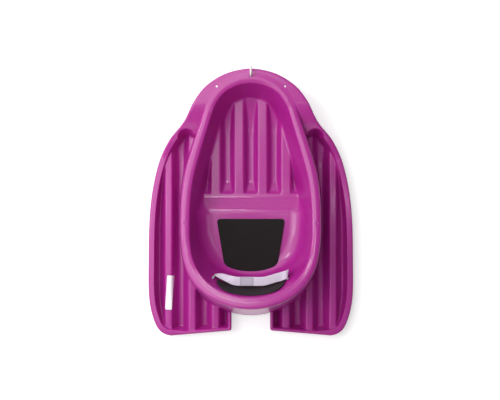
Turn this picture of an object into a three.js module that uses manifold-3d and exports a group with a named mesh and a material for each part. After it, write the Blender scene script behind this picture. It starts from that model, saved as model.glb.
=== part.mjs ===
// Baby pull sled: one injection-moulded shell with a raised egg-shaped tub, two ribbed wings, foam pads,
// a hook-and-loop lap belt and a tow rope. Millimetres, +Z up, +Y towards the nose, origin on the ground
// under the middle of the moulding.
import * as THREE from "three";
import { mergeVertices } from "three/addons/utils/BufferGeometryUtils.js";
import Module from "manifold-3d";

const wasm = await Module();
wasm.setup();

// Moulding: overall sizes
const sledLength = 769;
const sledWidth = 595;
const wall = 3;
const gap = 0.3;
const overrun = 20;
const halfLength = sledLength / 2;
const halfWidth = sledWidth / 2;

// Plan outline from nose to tail corner, as shares of the half width and the half length
const outlineShares = [
  [0, 1], [0.122, 0.989], [0.25, 0.959], [0.36, 0.912], [0.452, 0.854], [0.549, 0.752],
  [0.606, 0.664], [0.638, 0.62], [0.68, 0.577], [0.73, 0.536], [0.779, 0.492], [0.848, 0.405],
  [0.898, 0.312], [0.954, 0.132], [0.989, -0.09], [1, -0.42], [0.993, -0.73], [0.955, -0.865],
  [0.911, -0.942], [0.868, -0.976], [0.782, -1],
];
const outlineSteps = 2;

// Deck: level over the wings, swept up to the nose
const wingDeckHeight = 46;
const noseDeckHeight = 108;
const sweepStart = 120;
const sweepEnd = 295;
const deckFillet = 6;
const lipDepth = 12;

// Tail: the edge runs forward from each corner to the notch behind the backrest
const tailInnerRise = 15;
const notchHalfWidth = 56;
const notchCornerRadius = 7;
const notchReach = 300;
const skirtHeight = 12;

// Egg curves of the tub and its rim, from front to back, as shares of the half width and the two lengths
const eggFrontShares = [
  [0, 1], [0.2, 0.987], [0.414, 0.94], [0.535, 0.885], [0.621, 0.815], [0.697, 0.712],
  [0.787, 0.585], [0.88, 0.446], [0.95, 0.32], [0.991, 0.172],
];
const eggBackShares = [
  [1, 0], [0.985, 0.25], [0.925, 0.5], [0.805, 0.688], [0.6, 0.852], [0.31, 0.963], [0, 1],
];
const eggSteps = 2;

// Tub: where it is widest, its mouth at the rim and its foot at the runners. Its width is a share of the
// moulding's, and the rim and the two sloping walls are laid on to its mouth
const tubWidthShare = 0.57815;
const rimWidth = { side: 25.2, front: 30, back: 31 };
const moundSlope = { side: 11.8, front: 2, back: 42.5 };
const tubSlope = { side: 36, front: 43.5, back: 69.4 };
const tubWide = -60;
const rimWide = -50;
const rimInner = { half: halfWidth * tubWidthShare, wide: tubWide, front: 344, back: -258 };
const rimOuter = {
  half: rimInner.half + rimWidth.side,
  wide: rimWide,
  front: rimInner.front + rimWidth.front,
  back: rimInner.back - rimWidth.back,
};
const moundFoot = {
  half: rimOuter.half + moundSlope.side,
  wide: rimWide,
  front: rimOuter.front + moundSlope.front,
  back: rimOuter.back - moundSlope.back,
};
const tubFoot = {
  half: rimInner.half - tubSlope.side,
  wide: tubWide,
  front: rimInner.front - tubSlope.front,
  back: rimInner.back + tubSlope.back,
};
const rimFrontHeight = 106.5;
const rimBackHeight = 222;
const rimRiseStart = 265;
const rimRiseShare = 1.83;
const rimFillet = 7;
const filletSteps = 2;

// Tub floor: ribbed foot well, step and seat
const runnerFloor = wall;
const ribHeight = 28;
const seatHeight = 50;
const seatFillet = 9;
const wellFillet = 6;
const stepFoot = 25;
const stepCrest = -25;
const stepPoints = 8;

// Corrugation shared by the foot well and the wings
const pitch = 68.3;
const flankSlopeShare = 0.4;
const wellRibFlat = 28;
const wellKeelFront = { full: 190, end: 311 };
const wellKeelBack = { full: 76, end: 25 };
const wingRidgeFlat = 20;
const wingRidgeHeight = 40;
const wingKeelFront = { full: 95, end: 205 };
const wingKeelRise = 13;
const keelPoints = 5;
const keelPastShare = 1.08;
const flankTop = 60;

// Wing recesses
const flangeWidth = 17.5;
const recessDraftShare = 0.18;
const recessInner = 65;
const recessTailFlange = 9.5;
const archWidthShare = 0.62353;
const archX = halfWidth * archWidthShare;
const archY = 188.5;
const archTopRadius = 24.2;
const archFootRadius = 1.5;
const archTopHeight = 72;
const archSides = 32;

// Small holes: two for a bridle in the nose deck, two in the rim beside the seat, one for the tow rope
const bridleHole = { x: 97, y: 333, radius: 3.2 };
const rimHoleInset = 13;
const rimHole = { x: rimInner.half + rimHoleInset, y: -56, radius: 3 };
const ropeHoleY = 363.8;
const holeSides = 16;

// Belt slots in the tub wall, one beside each edge of the back pad
const slotInset = 66;
const slotX = rimInner.half - slotInset;

// Foam pads, set in from the tub's foot, the slots and the rim
const padThickness = 5;
const padEdge = 1.2;
const seatPadInset = { front: 38.5, back: 57.5 };
const seatPad = {
  frontHalf: tubFoot.half - seatPadInset.front,
  front: -44.5,
  corner: 9,
  backHalf: tubFoot.half - seatPadInset.back,
  backStart: -169,
  back: -197,
};
const seatPadCurveShare = 0.62;
const backPadBelowRim = 9;
const backPadInset = { side: 13, high: 44 };
const backPad = {
  lowMiddle: 143,
  lowSide: 170,
  high: rimBackHeight - backPadBelowRim,
  sideHalf: slotX - backPadInset.side,
  highHalf: slotX - backPadInset.high,
};
const backPadColumns = 16;
const backPadRows = 9;

// Belt: 25 mm webbing threaded through the slots, with hook and loop in front of the back pad
const webbingWidth = 25;
const webbingThickness = 1.6;
const tapeThickness = 1.2;
const tapeLength = 38;
const tapeMargin = 1;
const beltBelowRim = 57;
const beltHeight = rimBackHeight - beltBelowRim;
const slotOpening = 7;
const slotPlay = 2;
const slotBendRadius = 3.4;
const beltMiddleAhead = 26.13;
const beltShoulderShare = 0.54546;
const beltShoulderX = slotX * beltShoulderShare;
const beltShoulderAhead = 24.72;
const beltTiltShare = 0.35;
const beltRearShare = 0.95;
const beltLeave = 9.5;
const beltStubTurnShare = 0.34;
const overlapLeftX = -31;
const beltCreaseInset = 21;
const beltCreaseX = slotX - beltCreaseInset;
const beltCreaseAhead = 22;
const creasePlay = 1.1;
const creaseStraight = 5;
const strapTwistStep = THREE.MathUtils.degToRad(4.5);

// Tow rope
const ropeDiameter = 6;
const ropeSides = 8;
const ropeHolePlay = 1;
const knotTurns = 3;
const knotRadius = 8;
const knotArcs = 4;
const knotSides = 12;
const coilTurns = 3;
const coilClimb = 0.5;
const coilInnerRadius = 24;
const coilPitch = 6.6;
const coilSides = 6;
const coilSteps = 24;
const coilCentreY = 347;
const coilStartDegrees = 27;
const coilTail = 20;
const tieThickness = 1.3;
const tieWidth = 12;
const tieTurnShare = 0.75;

// Colours
const shellColour = 0xb83fa6;
const padColour = 0x242020;
const backPadColour = 0x2e2a29;
const webbingColour = 0xe6dcf0;
const tapeColour = 0xc9c9d2;
const ropeColour = 0xf2f0ee;
const tieColour = 0x303030;

// Heights of the deck and of the rim along the sled
function deckHeight(y) {
  const t = THREE.MathUtils.smoothstep(y, sweepStart, sweepEnd);
  return wingDeckHeight + (noseDeckHeight - wingDeckHeight) * t;
}

function rimHeight(y) {
  const run = rimRiseStart - rimOuter.back;
  const t = THREE.MathUtils.clamp((rimRiseStart - y) / run, 0, 1);
  return rimFrontHeight + (rimBackHeight - rimFrontHeight) * t ** rimRiseShare;
}

function mouthHeight(y) {
  return Math.max(rimHeight(y), deckHeight(y));
}

// A closed symmetric ring of plan points, nose first and down the right side, through share points
function ring(rightPoints, steps, endsOnAxis) {
  const right = rightPoints.map(([x, y]) => new THREE.Vector3(x, y, 0));
  const mirrored = right.slice(1, endsOnAxis ? -1 : undefined).reverse();
  const left = mirrored.map((p) => new THREE.Vector3(-p.x, p.y, 0));
  const curve = new THREE.CatmullRomCurve3([...right, ...left], true, "centripetal");
  const spans = right.length - 1;
  const points = [];
  for (let i = 0; i <= spans * steps; i++) {
    const p = curve.getPoint(i / steps / (right.length + left.length));
    points.push(new THREE.Vector2(i === 0 ? 0 : p.x, p.y));
  }
  if (endsOnAxis) points[points.length - 1].x = 0;
  const back = points.slice(1, endsOnAxis ? -1 : undefined).reverse();
  return [...points, ...back.map((p) => new THREE.Vector2(-p.x, p.y))];
}

function egg({ half, wide, front, back }) {
  const ahead = eggFrontShares.map(([x, y]) => [x * half, wide + y * (front - wide)]);
  const behind = eggBackShares.map(([x, y]) => [x * half, wide + y * (back - wide)]);
  return ring([...ahead, ...behind], eggSteps, true);
}

// Outward normals of a plan ring that runs clockwise seen from above
function normals(points) {
  const n = points.length;
  return points.map((p, i) => {
    const before = points[(i + n - 1) % n];
    const after = points[(i + 1) % n];
    const along = after.clone().sub(before).normalize();
    return new THREE.Vector2(-along.y, along.x);
  });
}

function grownRing(points, distance) {
  const out = normals(points);
  return points.map((p, i) => p.clone().addScaledVector(out[i], distance));
}

function raised(points, height) {
  return points.map((p, i) => {
    const z = typeof height === "function" ? height(p, i) : height;
    return new THREE.Vector3(p.x, p.y, z);
  });
}

// Solids from indexed faces, turned outwards if they face in
function solid(vertices, triangles) {
  const mesh = () =>
    new wasm.Mesh({
      numProp: 3,
      vertProperties: new Float32Array(vertices),
      triVerts: new Uint32Array(triangles),
    });
  const made = new wasm.Manifold(mesh());
  if (made.volume() > 0) return made;
  for (let i = 0; i < triangles.length; i += 3) {
    [triangles[i + 1], triangles[i + 2]] = [triangles[i + 2], triangles[i + 1]];
  }
  return new wasm.Manifold(mesh());
}

function solidOf(geometry) {
  geometry.deleteAttribute("normal");
  geometry.deleteAttribute("uv");
  const merged = mergeVertices(geometry);
  return solid(Array.from(merged.attributes.position.array), Array.from(merged.index.array));
}

// A loft through rings of equal count; each end is closed by strips between its left and right points
function loft(rings) {
  const n = rings[0].length;
  const vertices = rings.flat().flatMap((p) => [p.x, p.y, p.z]);
  const faces = [];
  for (let r = 0; r + 1 < rings.length; r++) {
    for (let i = 0; i < n; i++) {
      const a = r * n + i;
      const b = r * n + ((i + 1) % n);
      faces.push(a, b, b + n, a, b + n, a + n);
    }
  }
  const cap = (base, turned) => {
    for (let i = 0; i + 1 <= n - i - 1; i++) {
      const quad = [i, i + 1, n - i - 1, (n - i) % n];
      const strips = [];
      if (quad[1] !== quad[2]) strips.push([quad[0], quad[1], quad[2]]);
      if (quad[0] !== quad[3]) strips.push([quad[0], quad[2], quad[3]]);
      for (const [a, b, c] of strips) {
        faces.push(base + a, base + (turned ? c : b), base + (turned ? b : c));
      }
    }
  };
  cap(0, true);
  cap((rings.length - 1) * n, false);
  return solid(vertices, faces);
}

// A plan shape extruded upwards, and a side profile of [y, z] points extruded across the sled
function prism(points, low, high) {
  const shape = new THREE.Shape(points);
  const made = new THREE.ExtrudeGeometry(shape, { depth: high - low, bevelEnabled: false });
  return solidOf(made.translate(0, 0, low));
}

function acrossSled(profile) {
  const shape = new THREE.Shape(profile.map(([y, z]) => new THREE.Vector2(y, z)));
  const made = new THREE.ExtrudeGeometry(shape, { depth: sledWidth + overrun, bevelEnabled: false });
  made.translate(0, 0, -(sledWidth + overrun) / 2);
  const turn = new THREE.Matrix4().makeBasis(
    new THREE.Vector3(0, 1, 0),
    new THREE.Vector3(0, 0, 1),
    new THREE.Vector3(1, 0, 0),
  );
  return solidOf(made.applyMatrix4(turn));
}

function block(low, high) {
  const size = new THREE.Vector3().subVectors(high, low);
  const made = new THREE.BoxGeometry(size.x, size.y, size.z);
  const middle = new THREE.Vector3().addVectors(low, high).divideScalar(2);
  return solidOf(made.translate(middle.x, middle.y, middle.z));
}

function joined(solids) {
  return solids.reduce((a, b) => a.add(b));
}

// Fillet rings of a quarter circle: turn 0 is on the wall, turn 90 degrees is on the flat
const filletTurns = Array.from({ length: filletSteps + 1 }, (_, i) => ((i / filletSteps) * Math.PI) / 2);

const outline = ring(
  outlineShares.map(([x, y]) => [x * halfWidth, y * halfLength]),
  outlineSteps,
  false,
);
const mouthRing = egg(rimInner);
const rimRing = egg(rimOuter);
const footRing = egg(moundFoot);
const tubFootRing = egg(tubFoot);
const mouthNormals = normals(mouthRing);
const mouthTops = grownRing(mouthRing, rimFillet).map((p) => mouthHeight(p.y));
const rimTops = grownRing(rimRing, -rimFillet).map((p) => rimHeight(p.y));

// Deck slab: the body that the wings and the nose are cut from, shrunk by inset for the inner face
function slab(inset) {
  const low = inset > 0 ? -overrun : 0;
  const rings = [raised(grownRing(outline, -inset), low)];
  for (const turn of filletTurns) {
    const move = -deckFillet + (deckFillet - inset) * Math.cos(turn);
    const drop = deckFillet - (deckFillet - inset) * Math.sin(turn);
    const points = grownRing(outline, move);
    rings.push(raised(points, (p, i) => deckHeight(outline[i].y) - drop));
  }
  return loft(rings);
}

// Tail edge: a straight line from the tail corner forward to the notch
const tailCorner = outline[outline.length / 2 - 0.5];
const tailInner = tailCorner.y + tailInnerRise;
const tailSlope = tailInnerRise / (tailCorner.x - notchHalfWidth);
const tailEdge = (x) => tailInner - tailSlope * (x - notchHalfWidth);

// Tail cut: everything behind the tail edge and in the notch, grown for the inner face
function tailCut(grow, low, high) {
  const reach = halfWidth + overrun;
  const half = [
    [reach, -halfLength - overrun],
    [reach, tailEdge(reach) + grow],
    [notchHalfWidth + notchCornerRadius, tailEdge(notchHalfWidth + notchCornerRadius) + grow],
  ];
  for (const turn of filletTurns) {
    const bend = notchCornerRadius - grow;
    const x = notchHalfWidth + notchCornerRadius - bend * Math.sin(turn);
    const y = tailEdge(notchHalfWidth + notchCornerRadius) + notchCornerRadius - bend * Math.cos(turn);
    if (turn > 0) half.push([x, y]);
  }
  half.push([notchHalfWidth + grow, -notchReach + grow]);
  const left = half.slice().reverse().map(([x, y]) => [-x, y]);
  return prism([...half, ...left].map(([x, y]) => new THREE.Vector2(x, y)), low, high);
}

// Mound: the raised egg that carries the rim, shrunk by inset for the inner face
function mound(inset) {
  const low = inset > 0 ? -overrun : 0;
  const rings = [raised(grownRing(footRing, -inset), low)];
  for (const turn of filletTurns) {
    const move = -rimFillet + (rimFillet - inset) * Math.cos(turn);
    const drop = rimFillet - (rimFillet - inset) * Math.sin(turn);
    rings.push(raised(grownRing(rimRing, move), (p, i) => rimTops[i] - drop));
  }
  return loft(rings);
}

// Tub wall: the plan point number i at a height, moved outwards
function wallPoint(i, height, outwards) {
  const t = (height - runnerFloor) / (mouthTops[i] - runnerFloor);
  return tubFootRing[i].clone().lerp(mouthRing[i], t).addScaledVector(mouthNormals[i], outwards);
}

function wallRing(height, outwards) {
  return mouthRing.map((p, i) => wallPoint(i, height, outwards));
}

// The tub wall behind the seat: its Y at a distance X from the middle
function wallY(x, height, outwards) {
  const points = wallRing(height, outwards);
  const back = points.slice(0, points.length / 2 + 1).reverse();
  const next = back.findIndex((p) => p.x >= Math.abs(x));
  const a = back[Math.max(next - 1, 0)];
  const b = back[next];
  const t = b.x === a.x ? 0 : (Math.abs(x) - a.x) / (b.x - a.x);
  return THREE.MathUtils.lerp(a.y, b.y, t);
}

// A flat filleted floor at the foot of the tub wall, grown for the outer face of the sheet
function floorRings(floor, fillet, grow) {
  return filletTurns.slice().reverse().map((turn) => {
    const out = (fillet + grow) * Math.cos(turn) - fillet;
    const height = floor + fillet - (fillet + grow) * Math.sin(turn);
    return raised(wallRing(floor + fillet, out), height);
  });
}

// The tub wall's mouth, rounded over into the rim; its last arc runs a hair past the rim's flat top
function mouthRings(grow) {
  const rings = filletTurns.map((turn, k) => {
    const out = rimFillet - (rimFillet - grow) * Math.cos(turn);
    const last = k === filletSteps ? gap : 0;
    const drop = rimFillet - (rimFillet - grow) * Math.sin(turn) - last;
    const points = mouthRing.map((p, i) => wallPoint(i, mouthTops[i] - rimFillet, out));
    return raised(points, (p, i) => mouthTops[i] - drop);
  });
  const brim = mouthRing.map((p, i) => wallPoint(i, mouthTops[i] - rimFillet, rimFillet));
  return [...rings, raised(brim, (p, i) => mouthTops[i] + overrun)];
}

// A drafted trough along the sled; its keel rises at either end as a runner does
function trough(x, top, flat, stations, grow) {
  const half = (pitch - flat) / 2;
  const sections = stations.map(([y, keel]) => {
    const lowHalf = half - (top - keel) * flankSlopeShare + grow;
    const highHalf = half + (flankTop - top) * flankSlopeShare + grow;
    return [
      new THREE.Vector3(x - lowHalf, y, keel - grow),
      new THREE.Vector3(x - highHalf, y, flankTop - grow),
      new THREE.Vector3(x + highHalf, y, flankTop - grow),
      new THREE.Vector3(x + lowHalf, y, keel - grow),
    ];
  });
  return loft(sections);
}

function keelRise({ full, end }, rise) {
  return Array.from({ length: keelPoints }, (_, i) => {
    const share = ((i + 1) / keelPoints) * keelPastShare;
    return [full + (end - full) * share, runnerFloor + rise * share * share];
  });
}

function wellTroughs(grow) {
  const rise = ribHeight - runnerFloor;
  const stations = [
    ...keelRise(wellKeelFront, rise).reverse(),
    [wellKeelFront.full, runnerFloor],
    [wellKeelBack.full, runnerFloor],
    ...keelRise(wellKeelBack, rise),
  ];
  return joined([-2, -1, 0, 1, 2].map((k) => trough(k * pitch, ribHeight, wellRibFlat, stations, grow)));
}

function wingTroughs(side, grow) {
  const stations = [
    ...keelRise(wingKeelFront, wingKeelRise).reverse(),
    [wingKeelFront.full, runnerFloor],
    [-halfLength, runnerFloor],
  ];
  const made = (k) => trough(side * k * pitch, wingRidgeHeight, wingRidgeFlat, stations, grow);
  return joined([1, 2, 3, 4].map(made));
}

// The step up from the foot well to the seat, as the rear face of the foot well's space
function wellRegion(grow) {
  const line = Array.from({ length: stepPoints + 1 }, (_, i) => {
    const t = i / stepPoints;
    const ease = (1 - Math.cos(Math.PI * t)) / 2;
    return new THREE.Vector2(
      THREE.MathUtils.lerp(stepFoot, stepCrest, t),
      THREE.MathUtils.lerp(ribHeight, seatHeight, ease),
    );
  });
  const moved = line.map((p, i) => {
    const along = line[Math.min(i + 1, stepPoints)].clone().sub(line[Math.max(i - 1, 0)]).normalize();
    return [p.x + along.y * -grow, p.y + along.x * grow];
  });
  const high = rimBackHeight + overrun;
  return acrossSled([
    [halfLength, -overrun],
    [stepFoot, -overrun],
    ...moved,
    [stepCrest, high],
    [halfLength, high],
  ]);
}

// The tub's space in three layers that meet on shared rings: seat and walls, foot well, valleys
function tubCavity(grow) {
  const seatRim = seatHeight + seatFillet;
  const wellRim = ribHeight + wellFillet;
  const seat = loft([...floorRings(seatHeight, seatFillet, grow), ...mouthRings(grow)]);
  const wellWalls = loft([
    ...floorRings(ribHeight, wellFillet, grow),
    raised(wallRing(seatRim, grow), seatRim),
  ]);
  const valleyWalls = loft([
    raised(wallRing(-overrun, grow), -overrun),
    raised(wallRing(wellRim, grow), wellRim),
  ]);
  const well = wellWalls.intersect(wellRegion(grow));
  return seat.add(well).add(wellTroughs(grow).intersect(valleyWalls));
}

// Wing recess: inside the border flange, arched in front, ridged along its floor
function wingRecess(side, grow) {
  const out = normals(outline);
  const inner = (rise) =>
    outline.map((p, i) => {
      const above = rise ?? -overrun - deckHeight(p.y);
      const q = p.clone().addScaledVector(out[i], grow - flangeWidth + above * recessDraftShare);
      return new THREE.Vector3(q.x, q.y, deckHeight(p.y) + above);
    });
  const within = loft([inner(), inner(overrun)]);
  const corners = [
    [recessInner - grow, archY + grow],
    [recessInner - grow, tailEdge(recessInner) + recessTailFlange - grow],
    [halfWidth + overrun, tailEdge(halfWidth + overrun) + recessTailFlange - grow],
    [halfWidth + overrun, archY + grow],
  ];
  const plan = corners.map(([x, y]) => new THREE.Vector2(side * x, y));
  const reach = prism(side > 0 ? plan : plan.reverse(), -overrun, noseDeckHeight + overrun);
  const spread = (archTopRadius - archFootRadius) / (archTopHeight - runnerFloor);
  const low = runnerFloor - overrun;
  const high = noseDeckHeight + overrun;
  const radiusAt = (z) => Math.max(archFootRadius + (z - runnerFloor) * spread, wall / 2) + grow;
  const cone = new THREE.CylinderGeometry(radiusAt(high), radiusAt(low), high - low, archSides);
  cone.rotateX(Math.PI / 2).translate(side * archX, archY, (high + low) / 2);
  const above = block(
    new THREE.Vector3(-halfWidth, -halfLength, wingRidgeHeight - grow),
    new THREE.Vector3(halfWidth, halfLength, high),
  );
  const space = above.add(wingTroughs(side, grow));
  return within.intersect(reach).add(solidOf(cone)).intersect(space);
}

// Everything that lies under the top face of the moulding, or under its bottom face when inset by the wall
function body(inset) {
  const deck = slab(inset)
    .subtract(tailCut(inset, -overrun * 2, noseDeckHeight + overrun))
    .subtract(wingRecess(1, inset))
    .subtract(wingRecess(-1, inset));
  return deck.add(mound(inset)).subtract(tubCavity(inset));
}

// The lip hangs a short way below the deck; under it only the runners, the tub and the mound go down
function underLip() {
  const keep = wall + gap;
  const rings = [
    raised(grownRing(outline, overrun), -overrun),
    raised(grownRing(outline, overrun), (p, i) => deckHeight(outline[i].y) - lipDepth),
  ];
  const inside = loft([
    raised(grownRing(outline, -keep), -overrun * 2),
    raised(grownRing(outline, -keep), noseDeckHeight),
  ]);
  const core = inside.subtract(tailCut(keep, -overrun * 3, noseDeckHeight + overrun)).add(mound(0));
  return loft(rings).subtract(core);
}

function hole({ x, y, radius }, low, high) {
  const drill = new THREE.CylinderGeometry(radius, radius, high - low, holeSides);
  return solidOf(drill.rotateX(Math.PI / 2).translate(x, y, (low + high) / 2));
}

// Frame of a belt slot: on the mid-thickness of the tub wall, with directions outwards, backwards and up it
const slotHalf = webbingWidth / 2 + slotPlay;
function slotFrame(side) {
  const at = (x, z) => new THREE.Vector3(side * x, wallY(x, z, wall / 2), z);
  const step = webbingWidth / 2;
  const centre = at(slotX, beltHeight);
  const back = at(slotX - step, beltHeight).sub(at(slotX + step, beltHeight)).normalize();
  const lower = at(slotX, beltHeight - step);
  const upper = at(slotX, beltHeight + step);
  const up = upper.sub(lower);
  up.addScaledVector(back, -up.dot(back)).normalize();
  const out = new THREE.Vector3().crossVectors(up, back).multiplyScalar(side);
  return { centre, back, up, out };
}

function slotCut(side) {
  const { centre, back, up } = slotFrame(side);
  const made = new THREE.BoxGeometry(slotOpening, slotHalf * 2, overrun);
  made.translate(-slotOpening / 2 - (slotBendRadius - wall / 2 - webbingThickness / 2) / 2, 0, 0);
  const frame = new THREE.Matrix4().makeBasis(back, up, new THREE.Vector3().crossVectors(back, up));
  return solidOf(made.applyMatrix4(frame.setPosition(centre)));
}

function makeShell() {
  const skirt = block(
    new THREE.Vector3(-notchHalfWidth - wall, -halfLength, -overrun),
    new THREE.Vector3(notchHalfWidth + wall, -notchReach, skirtHeight),
  );
  const high = rimBackHeight + overrun;
  let shell = body(0).subtract(body(wall)).subtract(underLip()).subtract(skirt);
  for (const side of [-1, 1]) {
    const bridle = { ...bridleHole, x: side * bridleHole.x };
    const rim = { ...rimHole, x: side * rimHole.x };
    shell = shell.subtract(hole(bridle, wingDeckHeight, high)).subtract(hole(rim, wingDeckHeight, high));
    shell = shell.subtract(slotCut(side));
  }
  const ropeHole = { x: 0, y: ropeHoleY, radius: ropeDiameter / 2 + ropeHolePlay };
  return shell.subtract(hole(ropeHole, wingDeckHeight, high));
}

// Pads: a flat foam seat with rounded corners, and a curved foam back that lies on the tub wall
function makeSeatPad() {
  const { frontHalf, front, corner, backHalf, backStart, back } = seatPad;
  const curve = backHalf * seatPadCurveShare;
  const shape = new THREE.Shape();
  shape.moveTo(corner - frontHalf, front);
  shape.lineTo(frontHalf - corner, front);
  shape.quadraticCurveTo(frontHalf, front, frontHalf, front - corner);
  shape.lineTo(backHalf, backStart);
  shape.bezierCurveTo(backHalf - corner, back + corner, curve, back, 0, back);
  shape.bezierCurveTo(-curve, back, corner - backHalf, back + corner, -backHalf, backStart);
  shape.lineTo(-frontHalf, front - corner);
  shape.quadraticCurveTo(-frontHalf, front, corner - frontHalf, front);
  const made = new THREE.ExtrudeGeometry(shape, {
    depth: padThickness - padEdge * 2,
    bevelThickness: padEdge,
    bevelSize: padEdge,
    bevelOffset: -padEdge,
    bevelSegments: 2,
    curveSegments: 10,
  });
  return solidOf(made.translate(0, 0, seatHeight + gap + padEdge));
}

// A thin solid between two grids of points of the same rows and columns
function sheetBetween(front, back) {
  const rows = front.length;
  const columns = front[0].length;
  const vertices = [...front.flat(), ...back.flat()].flatMap((p) => [p.x, p.y, p.z]);
  const faces = [];
  const quad = (a, b, c, d) => faces.push(a, b, c, a, c, d);
  const at = (r, c) => r * columns + c;
  const behind = rows * columns;
  for (let r = 0; r + 1 < rows; r++) {
    for (let c = 0; c + 1 < columns; c++) {
      quad(at(r, c), at(r, c + 1), at(r + 1, c + 1), at(r + 1, c));
      quad(behind + at(r + 1, c), behind + at(r + 1, c + 1), behind + at(r, c + 1), behind + at(r, c));
    }
  }
  const edge = [
    ...Array.from({ length: columns - 1 }, (_, c) => at(0, c)),
    ...Array.from({ length: rows - 1 }, (_, r) => at(r, columns - 1)),
    ...Array.from({ length: columns - 1 }, (_, c) => at(rows - 1, columns - 1 - c)),
    ...Array.from({ length: rows - 1 }, (_, r) => at(rows - 1 - r, 0)),
  ];
  edge.forEach((a, i) => {
    const b = edge[(i + 1) % edge.length];
    quad(b, a, a + behind, b + behind);
  });
  return solid(vertices, faces);
}

function makeBackPad() {
  const { lowMiddle, lowSide, high, sideHalf, highHalf } = backPad;
  const grid = (outwards) =>
    Array.from({ length: backPadRows }, (_, r) => {
      const turn = (r / (backPadRows - 1)) * (Math.PI / 2);
      const half = THREE.MathUtils.lerp(highHalf, sideHalf, Math.cos(turn));
      return Array.from({ length: backPadColumns + 1 }, (_, c) => {
        const across = (2 * c) / backPadColumns - 1;
        const low = THREE.MathUtils.lerp(lowMiddle, lowSide, across * across);
        const z = THREE.MathUtils.lerp(low, high, Math.sin(turn));
        return new THREE.Vector3(half * across, wallY(half * across, z, outwards), z);
      });
    });
  return sheetBetween(grid(-gap - padThickness), grid(-gap));
}

// Webbing: a flat section swept along key points, each with the direction across the strap.
// A span that twists gets more sections, so that its two faces stay apart
function strapStations(keys, perSpan) {
  const curve = new THREE.CatmullRomCurve3(keys.map((key) => key.at), false, "centripetal");
  const spans = keys.length - 1;
  const places = [];
  for (let k = 0; k < spans; k++) {
    const twist = keys[k].across.angleTo(keys[k + 1].across);
    const steps = Math.max(perSpan, Math.ceil(twist / strapTwistStep));
    for (let i = 0; i < steps; i++) places.push(k + i / steps);
  }
  places.push(spans);
  return places.map((place) => {
    const k = Math.min(Math.floor(place), spans - 1);
    const along = curve.getTangent(place / spans);
    const across = keys[k].across.clone().lerp(keys[k + 1].across, place - k).normalize();
    const face = new THREE.Vector3().crossVectors(along, across).normalize();
    return { at: curve.getPoint(place / spans), across, face };
  });
}

function strap(stations, strapWidth, thickness) {
  const corners = [[-1, -1], [-1, 1], [1, 1], [1, -1]];
  return loft(
    stations.map(({ at, across, face }) =>
      corners.map(([u, v]) =>
        at
          .clone()
          .addScaledVector(across, (u * strapWidth) / 2)
          .addScaledVector(face, (v * thickness) / 2),
      ),
    ),
  );
}

// Overlap in front: left half, loop tape, hook tape and right half lie on one another
const overlapRightX = overlapLeftX + tapeLength;
const tapeStep = webbingThickness / 2 + gap + tapeThickness / 2;
const leftLevel = beltHeight - tapeStep - (tapeThickness + gap) / 2;
const rightLevel = beltHeight + tapeStep + (tapeThickness + gap) / 2;
const rearwards = new THREE.Vector3(0, -1, 0);
const beltMiddleY = wallY(0, beltHeight, 0) + beltMiddleAhead;
const beltShoulderY = wallY(beltShoulderX, beltHeight, 0) + beltShoulderAhead;
const beltCreaseY = wallY(beltCreaseX, beltHeight, 0) + beltCreaseAhead;
const flatKey = (x, z) => ({ at: new THREE.Vector3(x, beltMiddleY, z), across: rearwards });
const beltCrease = new THREE.Vector3(beltCreaseX, beltCreaseY, beltHeight);
const beltRun = new THREE.Vector3(overlapLeftX, beltMiddleY, beltHeight).sub(beltCrease).normalize();

// The turn of the webbing through a slot, from inside the tub to behind its wall
function slotKeys(side) {
  const { centre, back, up, out } = slotFrame(side);
  const at = (b, o) => centre.clone().addScaledVector(back, b).addScaledVector(out, o);
  const turns = [-1, -0.5, 0, 0.5, 1].map((share) => (share * Math.PI) / 2);
  const bend = turns.map((turn) => ({
    at: at(-slotBendRadius * Math.cos(turn), slotBendRadius * Math.sin(turn)),
    across: up,
  }));
  const inside = { at: at(webbingWidth / 2, -beltLeave), across: up };
  const stub = {
    at: bend[0].at.clone().lerp(beltCrease, beltStubTurnShare),
    across: up.clone().lerp(rearwards, beltStubTurnShare),
  };
  return { inside, bend, stub };
}

// The stretch behind the backrest, along the outside of the tub wall
function rearKeys() {
  const out = wall + gap + webbingThickness / 2;
  const [lower, middle, upper] = [-1, 0, 1].map((share) => {
    const height = beltHeight + (share * webbingWidth) / 2;
    return raised(wallRing(height, out), height);
  });
  const keys = middle.map((at, i) => ({ at, across: upper[i].clone().sub(lower[i]).normalize() }));
  const behind = keys.filter(({ at }) => at.y < rimInner.wide && Math.abs(at.x) < slotX * beltRearShare);
  return behind.sort((a, b) => a.at.x - b.at.x);
}

function beltLeftStations() {
  const left = slotKeys(-1);
  const right = slotKeys(1);
  const shoulder = new THREE.Vector3(-beltShoulderX, beltShoulderY, beltHeight);
  const onRun = (distance) => beltCrease.clone().addScaledVector(beltRun, -distance);
  return strapStations(
    [
      flatKey(overlapRightX, leftLevel),
      flatKey(overlapRightX - tapeLength / 2, leftLevel),
      flatKey(overlapLeftX, leftLevel),
      flatKey(overlapLeftX - webbingWidth / 4, leftLevel),
      { at: shoulder, across: rearwards.clone().add(new THREE.Vector3(0, 0, beltTiltShare)) },
      left.inside,
      ...left.bend,
      ...rearKeys(),
      ...right.bend.reverse(),
      right.stub,
      { at: onRun(creasePlay + creaseStraight), across: rearwards },
      { at: onRun(creasePlay), across: rearwards },
    ],
    3,
  );
}

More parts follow.
